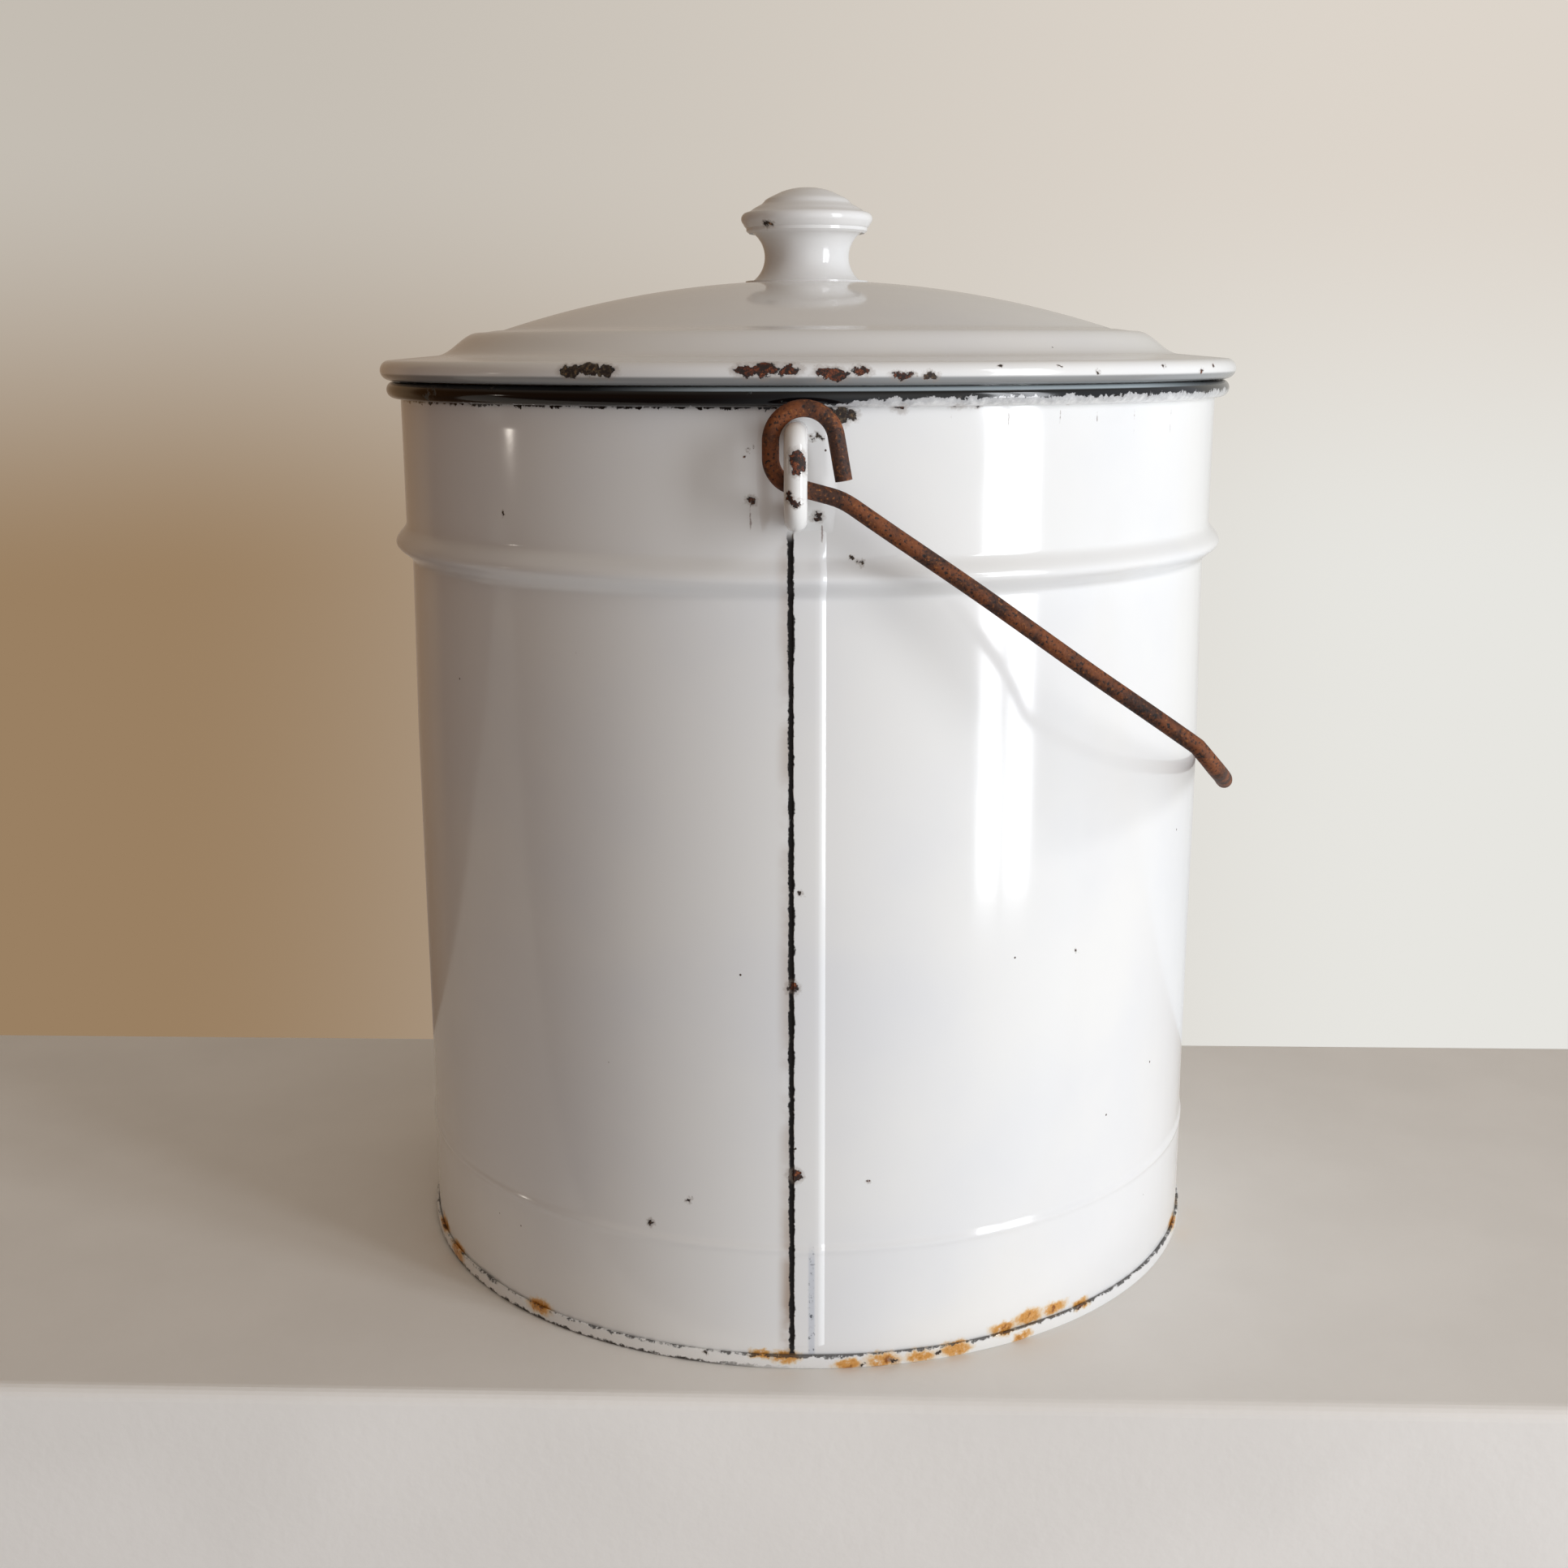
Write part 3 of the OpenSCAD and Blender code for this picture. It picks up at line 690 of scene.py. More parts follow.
def seam_strip(name, material):
    """The raised strip, as a closed mesh whose back is buried in the wall."""
    shape = bmesh.new()
    rings = []
    for z in (z for z in heights() if 4.9 < z < SEAM_TOP):
        front = []
        back = []
        for across in SEAM_COLUMNS:
            turn = (SEAM_X + SEAM_W * across) / WALL_R
            fade = min(1.0, (SEAM_TOP - z) / 3.0 + 0.15)
            r = wall_r(z) + seam_lift(across) * fade + 0.02
            front.append(shape.verts.new(Vector((r * math.sin(turn), -r * math.cos(turn), z)) * MM))
            r = wall_r(z) - 0.5
            back.append(shape.verts.new(Vector((r * math.sin(turn), -r * math.cos(turn), z)) * MM))
        rings.append(front + back[::-1])
    for low, high in zip(rings, rings[1:]):
        for i in range(len(low)):
            j = (i + 1) % len(low)
            shape.faces.new((low[i], low[j], high[j], high[i]))
    shape.faces.new(rings[0])
    shape.faces.new(rings[-1])
    mesh = bpy.data.meshes.new(name)
    shape.to_mesh(mesh)
    shape.free()
    mesh.materials.append(material)
    piece = bpy.data.objects.new(name, mesh)
    bpy.context.scene.collection.objects.link(piece)
    return settle(piece, 50.0)


side_seam = seam_strip("side_seam", WALL_ENAMEL)
ripple(side_seam)
wear(side_seam, "pail", "white_enamel")


# %% Floor pan
def foot_line(tree, place, ragged, colour):
    """Adds the thin dark line where the folded edge meets the wall, and a dark brown band at the very
    foot, to the left.
    """
    height = add(tree, "ShaderNodeSeparateXYZ", {0: ragged}, out="Z")
    side = add(tree, "ShaderNodeSeparateXYZ", {0: place}, out="X")
    blotch = add(tree, "ShaderNodeTexNoise", {"Vector": place, "Scale": 1 / 3, "Detail": 6.0,
                                             "Roughness": 0.8})
    # Dotted to the left, and nearly whole to the right.
    gaps = add(tree, "ShaderNodeMapRange", {"Value": side, "From Min": -60.0, "From Max": 40.0,
                                            "To Min": 0.50, "To Max": 0.38}, out="Result")
    dots = add(tree, "ShaderNodeMath", {0: blotch, 1: gaps}, operation="SUBTRACT")
    top = mask(tree, (height, 3.9, 4.3), (dots, 0.0, 0.05))
    colour = coat(tree, colour, "#2A2624", top, 0.85)
    # Dark brown at the very foot on the left, in blotches.
    colour = coat(tree, colour, "#2A211B", (height, 1.3, 0.5), (side, 10.0, -40.0),
                  (blotch, 0.36, 0.46))
    return colour, top


FOOT_ENAMEL = enamel("white_enamel_foot", [(8.2, 1.0, 0.8), (12.5, 1.4, 1.0), (18.5, 2.4, 0.9),
                                           (41.0, 3.9, 1.2), (-12.0, 3.4, 0.7), (205.0, 2.0, 2.0)],
                     FOOT_R, 0.6, FOOT_STAINS, foot_line)
SKIRT_R = FOOT_R - 3.1
PAN_Z = 6.0
HEM_R = 0.45
HEM_Z = 3.85
floor_outline = (
    [(0.0, PAN_Z), (SKIRT_R - 1.5, PAN_Z)] + arc(SKIRT_R - 1.5, PAN_Z - 0.5, 0.5, 90, 0, 3)[1:]
    + [(SKIRT_R - SHEET, 0.6)] + arc(SKIRT_R - 0.5, 0.5, 0.5, 180, 270, 4)
    + arc(FOOT_R - 0.6, 0.6, 0.6, 270, 360, 5)
    + arc(FOOT_R - HEM_R, HEM_Z, HEM_R, 0, 180, 6)
    + [(FOOT_R - 0.95, SHEET), (SKIRT_R + 0.05, SHEET)]
    + [(SKIRT_R + 0.05, PAN_Z + SHEET), (0.0, PAN_Z + SHEET)]
)
pail_floor = spin("pail_floor", floor_outline, FOOT_ENAMEL, 384)
for spot in pail_floor.data.vertices:
    if math.hypot(spot.co.x, spot.co.y) > (FOOT_R - 1.2) * MM and spot.co.z > 2.5 * MM:
        spot.co.z += noise.noise(spot.co / (30 * MM)) * 0.5 * MM
wear(pail_floor, "pail", "white_enamel", "base_pan")

# %% [markdown]
# ## Ears
#
# Each ear is a staple bent from round bar. Its two legs pass through a small curved plate,
# the wall and a second plate inside, and are riveted over. All of it was enamelled with the
# pail, so the bar is thick with glass, and it has chipped where the bail rubs.

# %% Ear sizes and enamel
EAR_D = 6.2
EAR_BEND = 5.0
RIVET_D = 9.0
RIVET_THICK = 1.3
LEG_HIGH = corner("front_ear", True).z - RIVET_D / 2
LEG_LOW = corner("front_ear", False).z + RIVET_D / 2
BAR_Y = -corner("front_ear", False).y - EAR_D / 2
HEAD_Y = -corner("front_ear", True).y
EAR_CHIPS = [(0.3, 270.6, 2.2), (0.5, 269.0, 2.1), (0.1, 267.6, 1.5), (-0.6, 261.6, 0.8),
             (-0.7, 260.6, 0.9), (-0.4, 259.7, 1.0), (0.1, 259.3, 1.0), (0.7, 260.1, 0.7)]
ear_enamel = enamel("white_enamel_ears",
                    EAR_CHIPS + [(180.0 - a, z, s) for a, z, s in EAR_CHIPS],
                    BAR_Y + EAR_D / 2, 1.0, warm=0.12)
print(f"ear legs at {LEG_HIGH:.1f} and {LEG_LOW:.1f}, bar at {BAR_Y:.1f}")


# %% Bend the staples and rivet them over
def staple_path():
    """The middle line of the front staple, from one riveted end to the other."""
    turn_y = BAR_Y - EAR_BEND
    path = [(0, -HEAD_Y, LEG_LOW), (0, -(HEAD_Y + turn_y) / 2, LEG_LOW)]
    path += [(0, -y, z) for y, z in arc(turn_y, LEG_LOW + EAR_BEND, EAR_BEND, -90, 0, 12)]
    path += [(0, -y, z) for y, z in arc(turn_y, LEG_HIGH - EAR_BEND, EAR_BEND, 0, 90, 12)]
    return path + [(0, -(HEAD_Y + turn_y) / 2, LEG_HIGH), (0, -HEAD_Y, LEG_HIGH)]


def dome(shape, centre, across, thick):
    """A riveted end: a low round head on the end of a leg, facing the pail's middle."""
    head = bmesh.ops.create_uvsphere(shape, u_segments=24, v_segments=12, radius=1.0)["verts"]
    size = Matrix.Diagonal((across / 2 * MM, thick * MM, across / 2 * MM, 1.0))
    place = Matrix.Translation(Vector(centre) * MM)
    bmesh.ops.transform(shape, matrix=place @ size, verts=head)


def ear(name, facing, material):
    """One staple. Facing is 1 for the front and -1 for the rear."""
    piece = wire(name, staple_path(), EAR_D, material, 28)
    shape = bmesh.new()
    shape.from_mesh(piece.data)
    for z in (LEG_LOW, LEG_HIGH):
        dome(shape, (0, -HEAD_Y - 0.9, z), RIVET_D - 0.2, RIVET_THICK)
    if facing < 0:
        bmesh.ops.scale(shape, vec=(1, -1, 1), verts=shape.verts)
        bmesh.ops.reverse_faces(shape, faces=shape.faces)
    shape.to_mesh(piece.data)
    shape.free()
    piece.data.materials.clear()
    piece.data.materials.append(material)
    piece.data.shade_smooth()
    return piece


front_bar = ear("front_ear_bar", 1, ear_enamel)
wear(front_bar, "pail", "white_enamel", "front_ear")
rear_bar = ear("rear_ear_bar", -1, ear_enamel)
wear(rear_bar, "pail", "white_enamel", "rear_ear")


# %% Ear plates
PAD_STEPS = 28
PAD_ROUND = 0.18
PAD_LIFT = 0.9


def plate_pad(name, facing, material):
    """The plate under a staple, with rounded corners and an edge softened by enamel."""
    low = corner("front_ear_plate", False)
    high = corner("front_ear_plate", True)
    half_w, half_h, mid = high.x, (high.z - low.z) / 2, (high.z + low.z) / 2
    shape = bmesh.new()
    grid = []
    for j in range(PAD_STEPS + 1):
        row = []
        for i in range(PAD_STEPS + 1):
            u, v = 2 * i / PAD_STEPS - 1, 2 * j / PAD_STEPS - 1
            # This squeezes the square grid to a shape with round corners.
            x = u * math.sqrt(1 - PAD_ROUND * v * v) * half_w
            z = v * math.sqrt(1 - PAD_ROUND * u * u) * half_h
            edge = min(1.0, max(0.0, (max(abs(u), abs(v)) - 0.6) / 0.4))
            lift = PAD_LIFT * (1 + math.cos(math.pi * edge)) / 2
            r = UPPER_R + lift - 0.02
            turn = x / UPPER_R
            row.append(shape.verts.new(
                Vector((r * math.sin(turn), -facing * r * math.cos(turn), mid + z)) * MM))
        grid.append(row)
    for low_row, high_row in zip(grid, grid[1:]):
        for i in range(PAD_STEPS):
            shape.faces.new((low_row[i], low_row[i + 1], high_row[i + 1], high_row[i]))
    hull = bmesh.ops.extrude_face_region(shape, geom=shape.faces[:])["geom"]
    for spot in (v for v in hull if isinstance(v, bmesh.types.BMVert)):
        inward = Vector((spot.co.x, spot.co.y, 0)).normalized()
        spot.co = Vector((0, 0, spot.co.z)) + inward * (UPPER_R - 0.6) * MM
    mesh = bpy.data.meshes.new(name)
    shape.to_mesh(mesh)
    shape.free()
    mesh.materials.append(material)
    piece = bpy.data.objects.new(name, mesh)
    bpy.context.scene.collection.objects.link(piece)
    return settle(piece, 60.0)


front_pad = plate_pad("front_ear_pad", 1, WALL_ENAMEL)
wear(front_pad, "pail", "white_enamel", "front_ear_plate")
rear_pad = plate_pad("rear_ear_pad", -1, WALL_ENAMEL)
wear(rear_pad, "pail", "white_enamel", "rear_ear_plate")
print("pads on the front and the rear")

# %% Finishes for the pieces that the CAD draws well enough
PLAIN_ENAMEL = enamel("white_enamel_inside", warm=0.15)
for node in ("front_ear_backing", "rear_ear_backing"):
    frame["nodes"][node].data.materials.clear()
    frame["nodes"][node].data.materials.append(PLAIN_ENAMEL)
for node in ("rim_wire", "lid_rim_wire", "knob_rivet", "knob_washer"):
    frame["nodes"][node].data.materials.clear()
    frame["nodes"][node].data.materials.append(STEEL)
print("backing plates, wires, rivet and washer finished")

# %% [markdown]
# ## The bail
#
# The handle is one length of wire. Each end is bent to an open hook that hangs in its ear,
# and the long arms run down to two tight corners and a grip with a wide bow. The path is
# walked like a turtle's: forward so far, turn so much. The grip lies in a plane bent further
# down than the arms, as wire that has been carried for years does. Hand-bent wire is never
# straight, so the finished path is given a slight wander, from noise with a fixed seed, so
# that the bail comes out the same each time.

# %% Walk the bail's path
BAIL_D = 4.6
HOOK_R = 6.4 + BAIL_D / 2
REST = 34.6
GRIP_BEND = 14.0
CORNER_R = 12.0
CORNER_TURN = 65.0
HOOK_START = 10.0
HOOK_FREE = 11.8
HOOK_BACK = 4.2
LEAD = 15.0
LEAD_BEND = 7.5
LEAD_RUN = 10.5
ARM_BEND = 20.0
swing = next(j for j in frame["joints"] if j["name"] == "bail_swing")
PIVOT = Vector(swing["pos_m"]) / MM
BAIL_Y = -corner("bail", False).y - BAIL_D / 2 - 0.05


def walk(steps, start, heading, points):
    """Adds the points of a flat path: each step is (length, 0) or (bend radius, turn)."""
    x, z = start
    for size, turn in steps:
        if turn == 0:
            count = max(2, round(size / 4))
            for i in range(1, count + 1):
                points.append((x + size * i / count * math.cos(heading),
                               z + size * i / count * math.sin(heading)))
        else:
            side = math.copysign(1, turn)
            cx = x - side * size * math.sin(heading)
            cz = z + side * size * math.cos(heading)
            bend = math.radians(turn)
            count = max(4, round(abs(turn) / 5), round(abs(bend) * size / 5))
            for i in range(1, count + 1):
                a = heading + bend * i / count
                points.append((cx + side * size * math.sin(a), cz - side * size * math.cos(a)))
            heading += bend
        x, z = points[-1]


def side_points():
    """One hook and arm, in the hook's own plane, from the cut end to the corner."""
    hook = math.radians(HOOK_START)
    head = math.pi / 2 + hook
    start = (HOOK_R * math.cos(hook) - HOOK_FREE * math.cos(head),
             HOOK_R * math.sin(hook) - HOOK_FREE * math.sin(head))
    points = [start]
    walk([(HOOK_FREE, 0), (HOOK_R, 180 - HOOK_START), (HOOK_BACK, 0), (LEAD_BEND, 90 - LEAD),
          (LEAD_RUN, 0), (ARM_BEND, LEAD - REST)], start, head, points)
    bend = math.radians(CORNER_TURN)
    grip_r = (BAIL_Y - CORNER_R * (1 - math.cos(bend))) / math.cos(bend)
    reach = CORNER_R * math.sin(bend) + grip_r * (1 - math.sin(bend))
    tip = corner("bail", True).x - BAIL_D / 2 - PIVOT.x
    down = math.radians(REST)
    arm = (tip - points[-1][0] - reach * math.cos(math.radians(REST + GRIP_BEND))) / math.cos(down)
    walk([(arm, 0)], points[-1], -down, points)
    return points, grip_r


def bail_path():
    """The whole bail: front side, grip, rear side."""
    side, grip_r = side_points()
    front = [Vector((x, -BAIL_Y, z)) for x, z in side]
    flat = []
    walk([(CORNER_R, CORNER_TURN), (grip_r, 180 - 2 * CORNER_TURN), (CORNER_R, CORNER_TURN)],
         (0.0, -BAIL_Y), 0.0, flat)
    tilt = math.radians(REST + GRIP_BEND)
    elbow = front[-1]
    grip = [Vector((elbow.x + g * math.cos(tilt), y, elbow.z - g * math.sin(tilt))) for g, y in flat]
    rear = [Vector((p.x, -p.y, p.z)) for p in reversed(front[:-1])]
    return [p + PIVOT for p in front + grip + rear]


def wander(points, depth, span):
    """Moves a path a little off true, but leaves its hooks alone."""
    moved = []
    for p in points:
        free = min(1.0, max(0.0, (p.x - 20) / 30))
        push = noise.noise_vector(p / span) * depth * free
        moved.append(p + Vector((push.x * 0.3, push.y, push.z)))
    return moved


WANDER_SEED = 3
noise.seed_set(WANDER_SEED)
bail_wire = wire("bail_wire", wander(bail_path(), 0.7, 45.0), BAIL_D, RUST, 24)
wear(bail_wire, "bail", "rusted_wire", "bail")

# %% [markdown]
# ## The lid
#
# The lid is pressed in one stroke: a shallow dome, a flat shoulder, a riser, a flange that
# oversails the rim, and an edge curled over a wire. The same spun outline makes it, and the
# soft corners come from a formula for each stretch. Its edge has been knocked most of all,
# and the lower half of its rolled edge is greyed with painted shade, where it faces the black rim.

# %% Lid outline
FLANGE_W = 14.6
FLANGE_DROP = 1.3
RISER_W = 14.0
RISER_H = 7.2
SHOULDER_W = 8.0
DOME_R = 325.0
HOLE_R = 3.05
FLANGE_R = EDGE_R - FLANGE_W
FLANGE_Z = EDGE_Z + EDGE_TUBE + FLANGE_DROP
SHOULDER_R = FLANGE_R - RISER_W
DOME_EDGE = SHOULDER_R - SHOULDER_W


def dome_z(r):
    """Height of the lid's dome at a radius."""
    return CROWN_Z - DOME_R + math.sqrt(DOME_R ** 2 - r * r)


def lid_top():
    """The lid's upper line, from the rivet hole to the top of the rolled edge."""
    crown = [(r, dome_z(r)) for r in (HOLE_R + (DOME_EDGE - HOLE_R) * i / 40 for i in range(41))]
    start = dome_z(DOME_EDGE)
    shoulder_z = FLANGE_Z + RISER_H
    ease = [(DOME_EDGE + SHOULDER_W * t, start + (shoulder_z - start) * t * t * (3 - 2 * t))
            for t in (0.25, 0.5, 0.75)]
    riser = [(SHOULDER_R + RISER_W * i / 24,
              shoulder_z - RISER_H * (1 - math.cos(math.pi * i / 24)) / 2) for i in range(25)]
    flange = [(FLANGE_R + FLANGE_W * t, FLANGE_Z - FLANGE_DROP * t) for t in (0.3, 0.6, 0.85)]
    return crown + ease + riser + flange


top_line = lid_top()
meet = 180 - math.degrees(math.asin((EDGE_TUBE - SHEET) / EDGE_TUBE))
curl = arc(EDGE_R, EDGE_Z, EDGE_TUBE, 90, meet - 360, 36)
under_line = [(r, z - SHEET) for r, z in reversed(top_line) if r < EDGE_R - 3.2]
LID_CHIPS = [
    (-26.2, 292.6, 3.0), (-24.0, 293.3, 3.5), (-21.6, 292.7, 2.9), (-5.6, 292.8, 2.7),
    (-3.4, 293.2, 3.5), (-0.8, 292.8, 2.7), (3.2, 292.2, 2.4), (4.6, 291.9, 2.7), (6.9, 292.5, 2.2),
    (11.2, 291.4, 2.0), (12.3, 291.5, 1.3), (14.6, 291.4, 1.9), (22.9, 293.8, 0.9), (30.6, 293.7, 0.7),
    (36.0, 292.4, 0.8), (57.0, 292.0, 1.3), (48.0, 293.5, 0.8), (61.0, 293.0, 0.8),
    (96.0, 292.0, 2.0), (99.5, 292.6, 1.5), (141.0, 293.0, 2.5), (145.0, 292.2, 1.8),
    (192.0, 292.4, 2.2), (222.0, 293.6, 1.2), (251.0, 292.0, 2.4), (255.0, 292.8, 1.7),
]


def shaded_edge_underside(tree, place, ragged, colour):
    """Greys the lower part of the rolled edge with painted shade, where its underside faces the black rim.
    """
    height = add(tree, "ShaderNodeSeparateXYZ", {0: place}, out="Z")
    # Painted shade: dark grey on the lower half of the rolled edge.
    return coat(tree, colour, "#6F7273", (height, EDGE_Z - 0.5, EDGE_Z - 1.3), 0.8), None


LID_ENAMEL = enamel("white_enamel_lid", LID_CHIPS, EDGE_R + EDGE_TUBE, 0.55, extra=shaded_edge_underside,
                    warm=0.06)
lid_cover = spin("lid_cover", top_line + curl + under_line, LID_ENAMEL, 448)
wear(lid_cover, "lid", "white_enamel", "lid_shell")

# %% [markdown]
# The collar that hangs inside the mouth keeps the lid from sliding off. It is only seen
# when the lid is lifted, so a plain outline with eased edges is enough.

# %% Lid collar
COLLAR_R = corner("lid_collar", True).x
COLLAR_LOW = corner("lid_collar", False).z
COLLAR_LIP = 6.0
under = FLANGE_Z - SHEET - 0.05
slope = FLANGE_DROP / FLANGE_W
collar_top = under - (COLLAR_R - FLANGE_R) * slope
collar_in = COLLAR_R - COLLAR_LIP
collar_in_top = under - (collar_in - FLANGE_R) * slope
collar_outline = (
    [(collar_in, collar_in_top)] + arc(COLLAR_R - 0.8, collar_top - 0.8, 0.8, 85, 0, 5)
    + arc(COLLAR_R - 0.5, COLLAR_LOW + 0.5, 0.5, 0, -180, 8)
    + [(COLLAR_R - SHEET, collar_top - SHEET - 0.6), (COLLAR_R - SHEET - 0.6, collar_top - SHEET),
       (collar_in, collar_in_top - SHEET)]
)
lid_skirt = spin("lid_skirt", collar_outline, PLAIN_ENAMEL, 256)
wear(lid_skirt, "lid", "white_enamel", "lid_collar")

# %% [markdown]
# ## The knob
#
# The knob is two small pressings, a waisted stem and a hollow head, folded together under
# the head's edge and riveted through the lid. The head's top has two faint steps. Both
# outlines are measured down from the knob's top, with an arc for the waist and the edge.

# %% Knob stem
STEM_R = 13.9
STEM_FOOT_R = 20.4
CURVE_R = 9.4
CURVE_X = STEM_R + CURVE_R
CURVE_Z = CROWN_Z + 7.6
KNOB_CHIPS = [(-38.0, KNOB_TOP - 12.6, 1.4), (-34.0, KNOB_TOP - 12.2, 1.2),
              (150.0, KNOB_TOP - 10, 1.3)]
KNOB_ENAMEL = enamel("white_enamel_knob", KNOB_CHIPS, HEAD_R - 0.8, 0.6, warm=0.05)
foot_z = dome_z(STEM_FOOT_R) - 0.4
stem_outline = (
    [(0.0, foot_z), (STEM_FOOT_R, foot_z), (STEM_FOOT_R - 0.2, foot_z + 0.9)]
    + [p for p in arc(CURVE_X, CURVE_Z, CURVE_R, 246, 118, 26) if p[0] < 20.0]
    + [(19.0, KNOB_TOP - 14.6), (19.9, KNOB_TOP - 13.9), (20.0, KNOB_TOP - 12.4)]
    + [(0.0, KNOB_TOP - 12.4)]
)
knob_stem = spin("knob_stem", stem_outline, KNOB_ENAMEL, 160)
wear(knob_stem, "lid", "white_enamel", "knob_neck")

# %% Knob head
EDGE_MID = KNOB_TOP - 10.0
HEAD_EDGE = 2.1
head_outline = (
    [(0.0, KNOB_TOP - 13.2), (19.4, KNOB_TOP - 13.2)]
    + [(20.0, KNOB_TOP - 12.9), (20.5, KNOB_TOP - 12.4)]
    + arc(HEAD_R - HEAD_EDGE, EDGE_MID, HEAD_EDGE, -40, 62, 10)
    + [(18.7, KNOB_TOP - 7.6), (17.8, KNOB_TOP - 6.9), (16.4, KNOB_TOP - 6.1),
       (15.0, KNOB_TOP - 5.4), (14.3, KNOB_TOP - 4.8)]
    + [(13.7, KNOB_TOP - 4.05), (12.6, KNOB_TOP - 3.35), (11.2, KNOB_TOP - 2.7)]
    + [(9.7, KNOB_TOP - 2.0), (8.2, KNOB_TOP - 1.35), (6.8, KNOB_TOP - 0.9), (5.2, KNOB_TOP - 0.5),
       (3.4, KNOB_TOP - 0.2), (1.6, KNOB_TOP - 0.05), (0.0, KNOB_TOP)]
)
knob_head = spin("knob_head", head_outline, KNOB_ENAMEL, 160)
wear(knob_head, "lid", "white_enamel", "knob_cap")

# %% [markdown]
# ## Shelf, light and camera
#
# The pail stands on a plain pale shelf, close to its front edge. A tall window to the
# right, of two panes, is the main light. Glossy enamel shows its shape by what it mirrors,
# so the window is two real area lights, and the room is a soft sky that is bright on the
# window's side and dim and brown on the other. A small far window draws the short streak of
# light on the left of the wall. The camera sees a calmer backdrop than the glass mirrors.


# %% Shelf
def painted(name, code, roughness):
    """A matt emulsion paint with a faint roller stipple of about 3 mm."""
    material = bpy.data.materials.new(name)
    material.use_nodes = True
    tree = material.node_tree
    skin = tree.nodes["Principled BSDF"]
    place, ragged = skin_place(tree, 1.0, 6.0)
    mottle = add(tree, "ShaderNodeTexNoise", {"Vector": ragged, "Scale": 1 / 60, "Detail": 5.0})
    shade = coat(tree, code, "#8C8478", (mottle, 0.3, 0.7), 0.06)
    tree.links.new(shade, skin.inputs["Base Color"])
    skin.inputs["Roughness"].default_value = roughness
    stipple = add(tree, "ShaderNodeTexNoise", {"Vector": place, "Scale": 1 / 3, "Detail": 2.0})
    stipple = add(tree, "ShaderNodeBump", {"Height": stipple, "Distance": 0.15 * MM,
                                           "Strength": 0.5})
    tree.links.new(stipple, skin.inputs["Normal"])
    return material


SHELF_FRONT = 0.151
SHELF_BACK = 0.142
SHELF_WIDE = 6.0
SHELF_THICK = 0.4
SHELF_NOSE = 0.004
shape = bmesh.new()
bmesh.ops.create_cube(shape, size=1.0)
bmesh.ops.scale(shape, vec=(SHELF_WIDE, SHELF_FRONT + SHELF_BACK, SHELF_THICK), verts=shape.verts)
bmesh.ops.translate(shape, vec=(0, (SHELF_BACK - SHELF_FRONT) / 2, -SHELF_THICK / 2),
                    verts=shape.verts)
long_edges = [e for e in shape.edges if abs(e.verts[0].co.x - e.verts[1].co.x) > 1
              and e.verts[0].co.z > -0.01]
bmesh.ops.bevel(shape, geom=long_edges, offset=SHELF_NOSE, segments=5, affect="EDGES", profile=0.5)
shelf_mesh = bpy.data.meshes.new("shelf")
shape.to_mesh(shelf_mesh)
shape.free()
shelf = bpy.data.objects.new("shelf", shelf_mesh)
bpy.context.scene.collection.objects.link(shelf)
shelf_mesh.materials.append(painted("matt_shelf_paint", "#F4F1EC", 0.6))
print("shelf:", [round(v, 3) for v in shelf.dimensions])


# %% Windows
def pane(name, bearing, away, low, high, wide, power, code):
    """A flat light that faces the pail, at a bearing from the front, to the right."""
    light = bpy.data.lights.new(name, "AREA")
    light.shape = "RECTANGLE"
    light.size, light.size_y = wide, high - low
    light.energy = power
    light.color = linear(code)[:3]
    lamp = bpy.data.objects.new(name, light)
    x, y = on_wall(bearing, away)
    lamp.location = (x, y, (low + high) / 2)
    lamp.rotation_euler = (math.radians(90), 0, math.radians(bearing))
    bpy.context.scene.collection.objects.link(lamp)


pane("window_left_pane", 50.5, 1.9, -0.36, 1.3, 0.20, 11.5, "#F7FAFF")
pane("window_right_pane", 59.5, 1.9, -0.36, 1.3, 0.26, 12.5, "#F7FAFF")
pane("far_window", -83.0, 2.2, 0.19, 0.215, 0.07, 0.3, "#FFF6EA")
print("windows:", [light.name for light in bpy.data.lights])

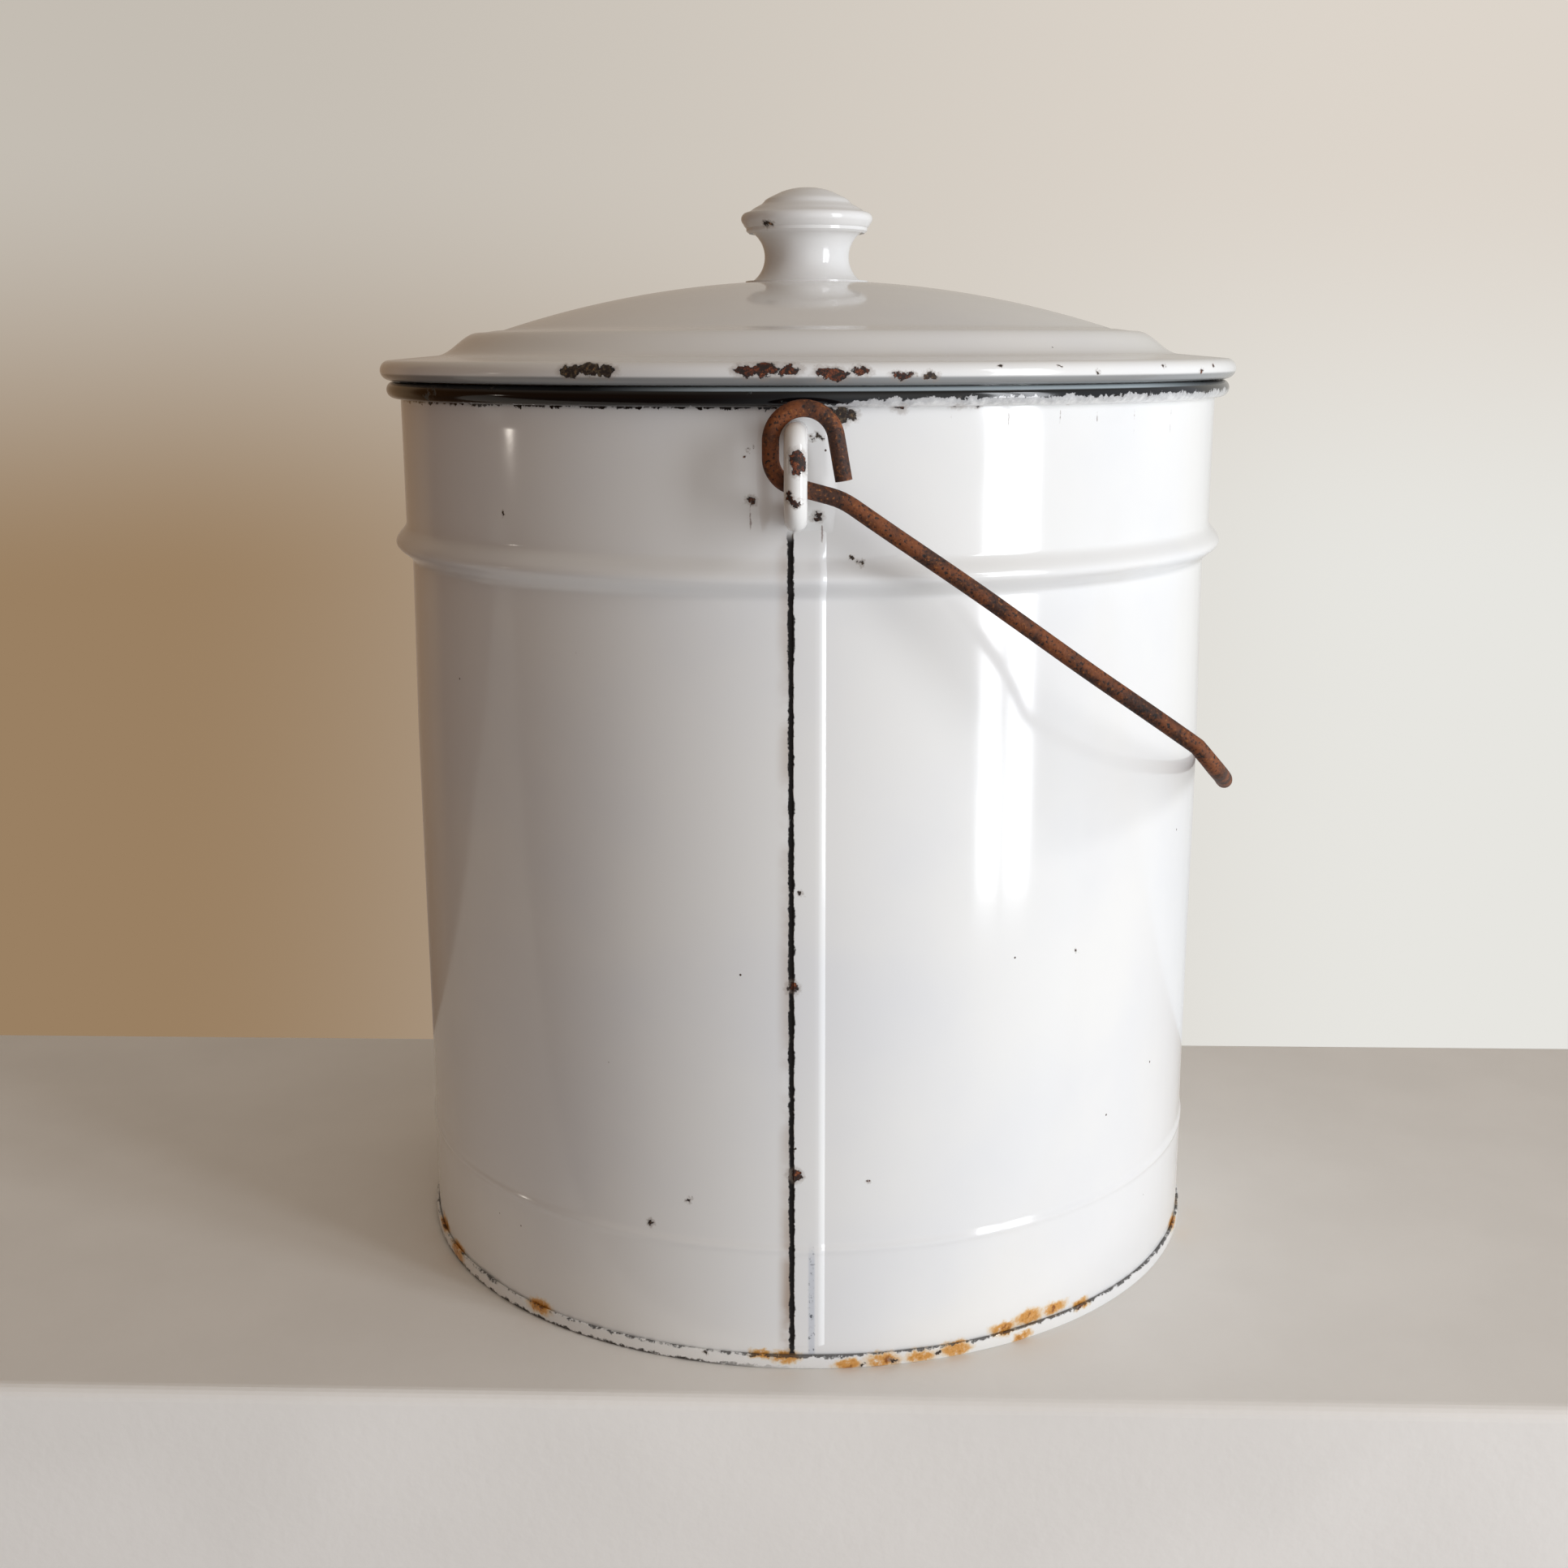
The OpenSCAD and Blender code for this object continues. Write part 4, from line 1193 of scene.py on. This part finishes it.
# %% Room
room = bpy.data.worlds.new("room")
bpy.context.scene.world = room
room.use_nodes = True
tree = room.node_tree
back = tree.nodes["Background"]
way = add(tree, "ShaderNodeTexCoord", out="Generated")
across = add(tree, "ShaderNodeSeparateXYZ", {0: way}, out="X")
rise = across.node.outputs["Z"]
depth = across.node.outputs["Y"]
glow = coat(tree, "#5C3C1F", "#CBCDD2", (across, -0.6, 0.7))
glow = coat(tree, glow, "#F4F2EF", (depth, -0.3, -0.9), (across, -0.1, 0.25))
behind = coat(tree, "#8C7053", "#CFCDC7", (across, -0.6, 0.5))
glow = coat(tree, glow, behind, (depth, 0.55, 0.68))
glow = coat(tree, glow, "#9C9082", (rise, 0.2, 0.9))
below = coat(tree, "#47301D", "#DFE3E8", (across, -0.5, 0.5))
glow = coat(tree, glow, below, (rise, -0.1, -0.5))
# Painted shadow: the backdrop that the camera sees is dark brown low on the left, where the pail's shadow
# would fall on a wall behind it.
seen_low_and_shadow = coat(tree, "#9A8062", "#E7E6E1", (across, -0.35, 0.3))
seen_high = coat(tree, "#C4BDB3", "#DDD5CB", (across, -0.35, 0.3))
seen = coat(tree, seen_low_and_shadow, seen_high, (rise, -0.12, 0.1))
direct = add(tree, "ShaderNodeLightPath", out="Is Camera Ray")
tree.links.new(coat(tree, glow, seen, direct), back.inputs["Color"])
back.inputs["Strength"].default_value = 1.0
print("room:", len(tree.nodes), "nodes")

# %% [markdown]
# The camera stands at the height of the rim, a little right of the front ear, and looks
# down a few degrees, which is how a person sees a pail on a shelf. The picture is rendered
# with the plain sRGB view, so that the white of the enamel stays white.

# %% Camera
pail_h = cad_high.z - cad_low.z
EYE = Vector((0.036, -1.841, 0.853)) * pail_h
EYE_TURN = 1.83
EYE_DOWN = 13.04
EYE_ROLL = -0.15
lens = bpy.data.cameras.new("camera")
lens.lens = 43.16
lens.sensor_width = 36.0
eye = bpy.data.objects.new("camera", lens)
eye.matrix_world = (
    Matrix.Translation(EYE)
    @ Matrix.Rotation(math.radians(EYE_TURN), 4, "Z")
    @ Matrix.Rotation(math.radians(90 - EYE_DOWN), 4, "X")
    @ Matrix.Rotation(math.radians(EYE_ROLL), 4, "Z")
)
bpy.context.scene.collection.objects.link(eye)
bpy.context.scene.camera = eye
bpy.context.scene.view_settings.view_transform = "Standard"
print("camera at", [round(v, 3) for v in eye.location])

# %% [markdown]

# %% A last import
import json
